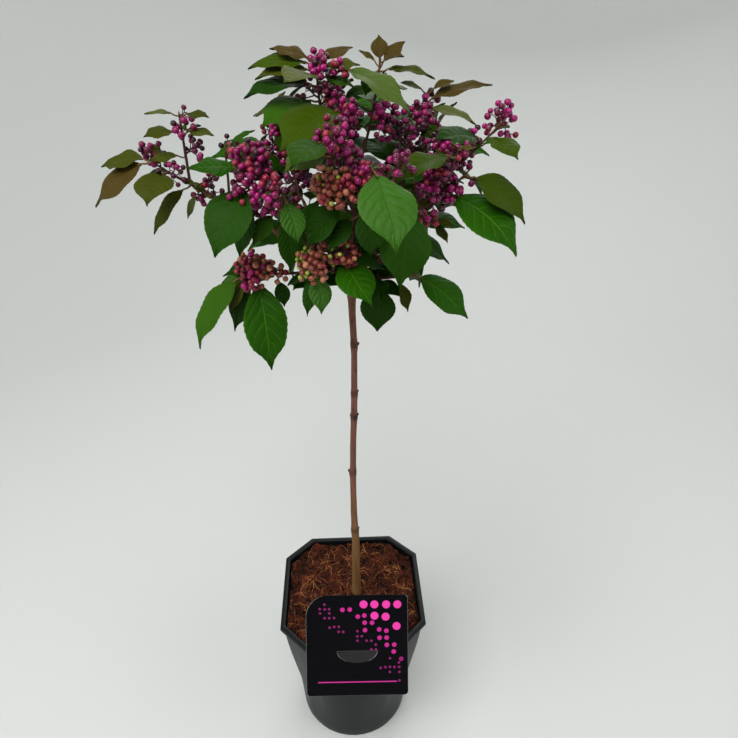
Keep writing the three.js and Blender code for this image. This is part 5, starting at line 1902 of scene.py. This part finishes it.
def grow_shoot(path, share, sizes, kinds):
    """Adds a short shoot with a bud and two leaves, and says whether it had room."""
    spot, way = along(path, share)
    heading = shoot_draw.uniform(0, 360)
    out = unit(aim(heading, shoot_draw.uniform(5, 60)) + way * 0.6)
    tip = spot + out * shoot_draw.uniform(*SHOOT_LENGTH)
    kind = kinds[shoot_draw.integers(len(kinds))]
    if not clear_of_leaves(tip, SHOOT_ROOM):
        return False
    run = [spot, (spot + tip) / 2 - (0, 0, 0.3), tip]
    twig_pile.add(*tube(run, (0.55, 0.42, 0.36), 5), shoot_draw.random())
    add_bud(tip, out, 0.7)
    for side in (70, -70):
        size = shoot_draw.uniform(*sizes)
        grow_leaf(LeafLine(tip, heading + side, shoot_draw.uniform(-15, 35), size, YOUNG_STALK), kind)
    return True


shoots = 0
for name, path in twig_paths.items():
    add_bud(path[-1], unit(path[-1] - path[-2]), 1.0)
    length = np.linalg.norm(np.diff(path, axis=0), axis=1).sum()
    for _ in range(round(length / SHOOT_SPACING)):
        shoots += grow_shoot(path, shoot_draw.uniform(0.25, 0.97), SHOOT_LEAF, YOUNG_KINDS)
inner_shoots = 0
for name, path in bough_paths.items():
    for _ in range(INNER_SHOOTS):
        inner_shoots += grow_shoot(path, shoot_draw.uniform(0.3, 0.95), INNER_LEAF, INNER_KINDS)
print(f"{shoots} young shoots on the twigs and {inner_shoots} on the boughs")

# %% Deliver the leaves
for kind, pile in leaf_piles.items():
    under = under_bronze if kind == "bronze" else under_green
    piece = pile.mesh(f"leaves_{kind}", crease=60)
    deliver(piece, f"leaves_{kind}", [LEAF_KINDS[kind], under], "foliage", GROWN_NODES)

# %% [markdown]
# ## The berries
#
# The fruit hangs in loose forked clusters at the leaves' feet. Each ripe berry is about four millimetres
# across, smooth and glossy, with a dark dot at its tip, and sits on a thin stalk of its own. The stalks
# fork by the plant's own rule, in two or three again and again, each fork crosswise to the one before. A
# berry is modelled once and copied to one, two or three places at each last end, where it has room.

# %% Model one berry
bpy.ops.object.select_all(action="DESELECT")
bpy.ops.mesh.primitive_ico_sphere_add(subdivisions=2, radius=1.0)
berry = bpy.context.object
bpy.ops.transform.resize(value=(1, 1, 0.94))
settle_in_place(berry)
BERRY_POINTS = np.array([vertex.co for vertex in berry.data.vertices])
BERRY_FACES = [list(face.vertices) for face in berry.data.polygons]
bpy.data.objects.remove(berry)
print(f"one berry has {len(BERRY_FACES)} faces")

# %% Fork the stalks and hang the berries
BERRY_RADIUS = {"magenta": 2.25, "rose": 2.1, "dark": 1.95, "unripe": 2.05, "green": 1.5, "bare": 0.6}
BERRIES_AT_AN_END = {
    "magenta": (2, 3), "rose": (2, 3), "unripe": (2, 3), "bare": (2, 3),
    "green": (2, 2), "dark": (1, 1), "full dark": (3, 3),
}
# The dark berries stand for dark ripe fruit and also for painted shade: whole dark clusters sit where
# berries are in shade.
RIPENESS_AND_SHADE = {
    "magenta": ("magenta",) * 7 + ("dark",) * 2 + ("rose",),
    "dark": ("dark",) * 7 + ("magenta",) * 3,
    "full dark": ("dark",) * 6 + ("magenta",) * 2 + ("rose",) * 2,
    "rose": ("rose",) * 6 + ("magenta",) * 2 + ("unripe",) * 2,
    "unripe": ("unripe",) * 8 + ("rose", "green"),
    "green": ("green",) * 8 + ("unripe",) * 2,
    "bare": ("bare",),
}
FORK_LENGTH = 0.58
FORK_SHRINK = 0.72
FORK_SPREAD = (25, 55)
FULL_CLUSTER = 9.4
SMALL_CLUSTER = 5.2
TRIES = 14
BERRY_SPACING = 1.85
LEAF_SPACING = 0.85
berry_draw = np.random.default_rng(41)
berry_piles = {kind: Pile() for kind in BERRY_RADIUS}
fruit_stalk_pile = Pile()
hung = []


def fork(start, way, length, orders, turn):
    """Splits a stalk again and again, and gives back its last ends with their ways."""
    across = unit(np.cross(way, ASLANT))
    up = np.cross(way, across)
    branches = 3 if orders > 2 else 2
    ends = []
    for branch in range(branches):
        angle = turn + 2 * pi * branch / branches + berry_draw.uniform(-0.5, 0.5)
        spread = radians(berry_draw.uniform(*FORK_SPREAD))
        out = way * cos(spread) + (across * cos(angle) + up * sin(angle)) * sin(spread)
        end = start + out * length * berry_draw.uniform(0.7, 1.25)
        thick = 0.2 + 0.09 * orders
        fruit_stalk_pile.add(*tube([start, end], (thick, thick * 0.85), 4), berry_draw.random())
        if orders > 1:
            ends += fork(end, out, length * FORK_SHRINK, orders - 1, turn + pi / 2)
        else:
            ends.append((end, out))
    return ends


def has_room(place, size):
    """Whether a berry touches neither another berry nor a large leaf."""
    if hung and np.linalg.norm(np.array(hung) - place, axis=1).min() < BERRY_SPACING * size:
        return False
    return clear_of_leaves(place, size * LEAF_SPACING)


def hang_berry(end, out, kind):
    """Tries a few ways from a stalk's end, and hangs a berry on the first that has room."""
    size = BERRY_RADIUS[kind] * berry_draw.uniform(0.85, 1.08)
    for _ in range(TRIES):
        way = unit(out + berry_draw.normal(size=3) * 0.85)
        place = end + way * (size + berry_draw.uniform(0.6, 2.0))
        if has_room(place, size):
            hung.append(place)
            foot = place - way * size * 0.92
            fruit_stalk_pile.add(*tube([end, foot], (0.26, 0.42), 3), berry_draw.random())
            turn = np.array(Vector((0, 0, 1)).rotation_difference(Vector(way)).to_matrix())
            tones = np.full(len(BERRY_POINTS), berry_draw.uniform(0.15, 0.9))
            tones[BERRY_POINTS[:, 2] > 0.9] = 0.0
            berry_piles[kind].add(place + BERRY_POINTS @ turn.T * size, BERRY_FACES, tones)
            return


def hang_cluster(spot, centre, radius, kind):
    """Grows a cluster's forked stalks from its place on a twig, and hangs its berries."""
    way = unit(centre - spot)
    heart = spot + way * radius * 0.35
    fruit_stalk_pile.add(*tube([spot, heart], (0.8, 0.62), 5), berry_draw.random())
    orders = 4 if radius > FULL_CLUSTER else 3 if radius > SMALL_CLUSTER else 2
    for end, out in fork(heart, way, radius * FORK_LENGTH, orders, berry_draw.uniform(0, pi)):
        fewest, most = BERRIES_AT_AN_END[kind]
        for _ in range(berry_draw.integers(fewest, most + 1)):
            hang_berry(end, out, RIPENESS_AND_SHADE[kind][berry_draw.integers(len(RIPENESS_AND_SHADE[kind]))])


for cluster in clusters:
    hang_cluster(*cluster)
print(f"{len(hung)} berries")


# %% Finish the berries
def berry_finish(name, dark, middle, pale):
    """Glossy skin with a soft bloom: each berry has its own tone, and the tip's dot has none."""
    finish = Finish(name, Specular_IOR_Level=0.35, Coat_Weight=0.1, Coat_Roughness=0.12)
    bloom = cloud(finish, 900, detail=2)
    tone = mark(finish, "tone")
    stops = [(0.0, screen(36, 10, 24)), (0.12, dark), (0.5, middle), (0.9, pale)]
    colour = ramp(finish, tone * 0.85 + bloom * 0.15, stops)
    return finish.shade(
        Base_Color=colour,
        Roughness=0.22 + bloom * 0.15,
        Normal=bump(finish, bloom, 0.0001, 0.5),
    )


BERRY_KINDS = {
    "magenta": berry_finish("berry_magenta", screen(76, 0, 36), screen(120, 0, 70), screen(160, 12, 106)),
    "rose": berry_finish("berry_rose", screen(80, 4, 24), screen(120, 12, 40), screen(156, 40, 64)),
    # Dark ripe fruit and painted shade: the dark berries are a darker copy of the magenta ones.
    "dark": berry_finish("berry_dark_and_shaded", screen(32, 0, 16), screen(60, 2, 32), screen(96, 8, 56)),
    "unripe": berry_finish("berry_unripe", screen(90, 32, 24), screen(132, 62, 44), screen(180, 118, 88)),
    "green": berry_finish(
        "berry_green", screen(100, 110, 22), screen(132, 144, 40), screen(166, 174, 72)
    ),
    "bare": berry_finish("berry_bud", screen(36, 14, 16), screen(56, 24, 26), screen(78, 36, 36)),
}
for kind, pile in berry_piles.items():
    if pile.count:
        name = f"berries_{kind}"
        deliver(pile.mesh(name), name, [BERRY_KINDS[kind]], "foliage", GROWN_NODES)

# %% Finish the twigs and stalks
STALK_LOOKS = {
    "twigs": (twig_pile, "bough_bark", "twig_bark", screen(38, 18, 16), screen(86, 48, 36)),
    "leaf_stalks": (stalk_pile, "foliage", "leaf_stalk_skin", screen(72, 50, 34), screen(116, 92, 52)),
    "young_buds": (bud_pile, "foliage", "bud_scales", screen(48, 34, 22), screen(96, 74, 44)),
    "fruit_stalks": (
        fruit_stalk_pile, "foliage", "fruit_stalk_skin", screen(36, 14, 15), screen(84, 42, 34)
    ),
}
for name, (pile, slot, *looks) in STALK_LOOKS.items():
    deliver(pile.mesh(name), name, [young_wood(*looks)], slot, GROWN_NODES)

# %% [markdown]
# ## The dressed plant's box
#
# The box round all the shown pieces, apart from the stage, is measured.

# %% Measure the box
low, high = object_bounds()
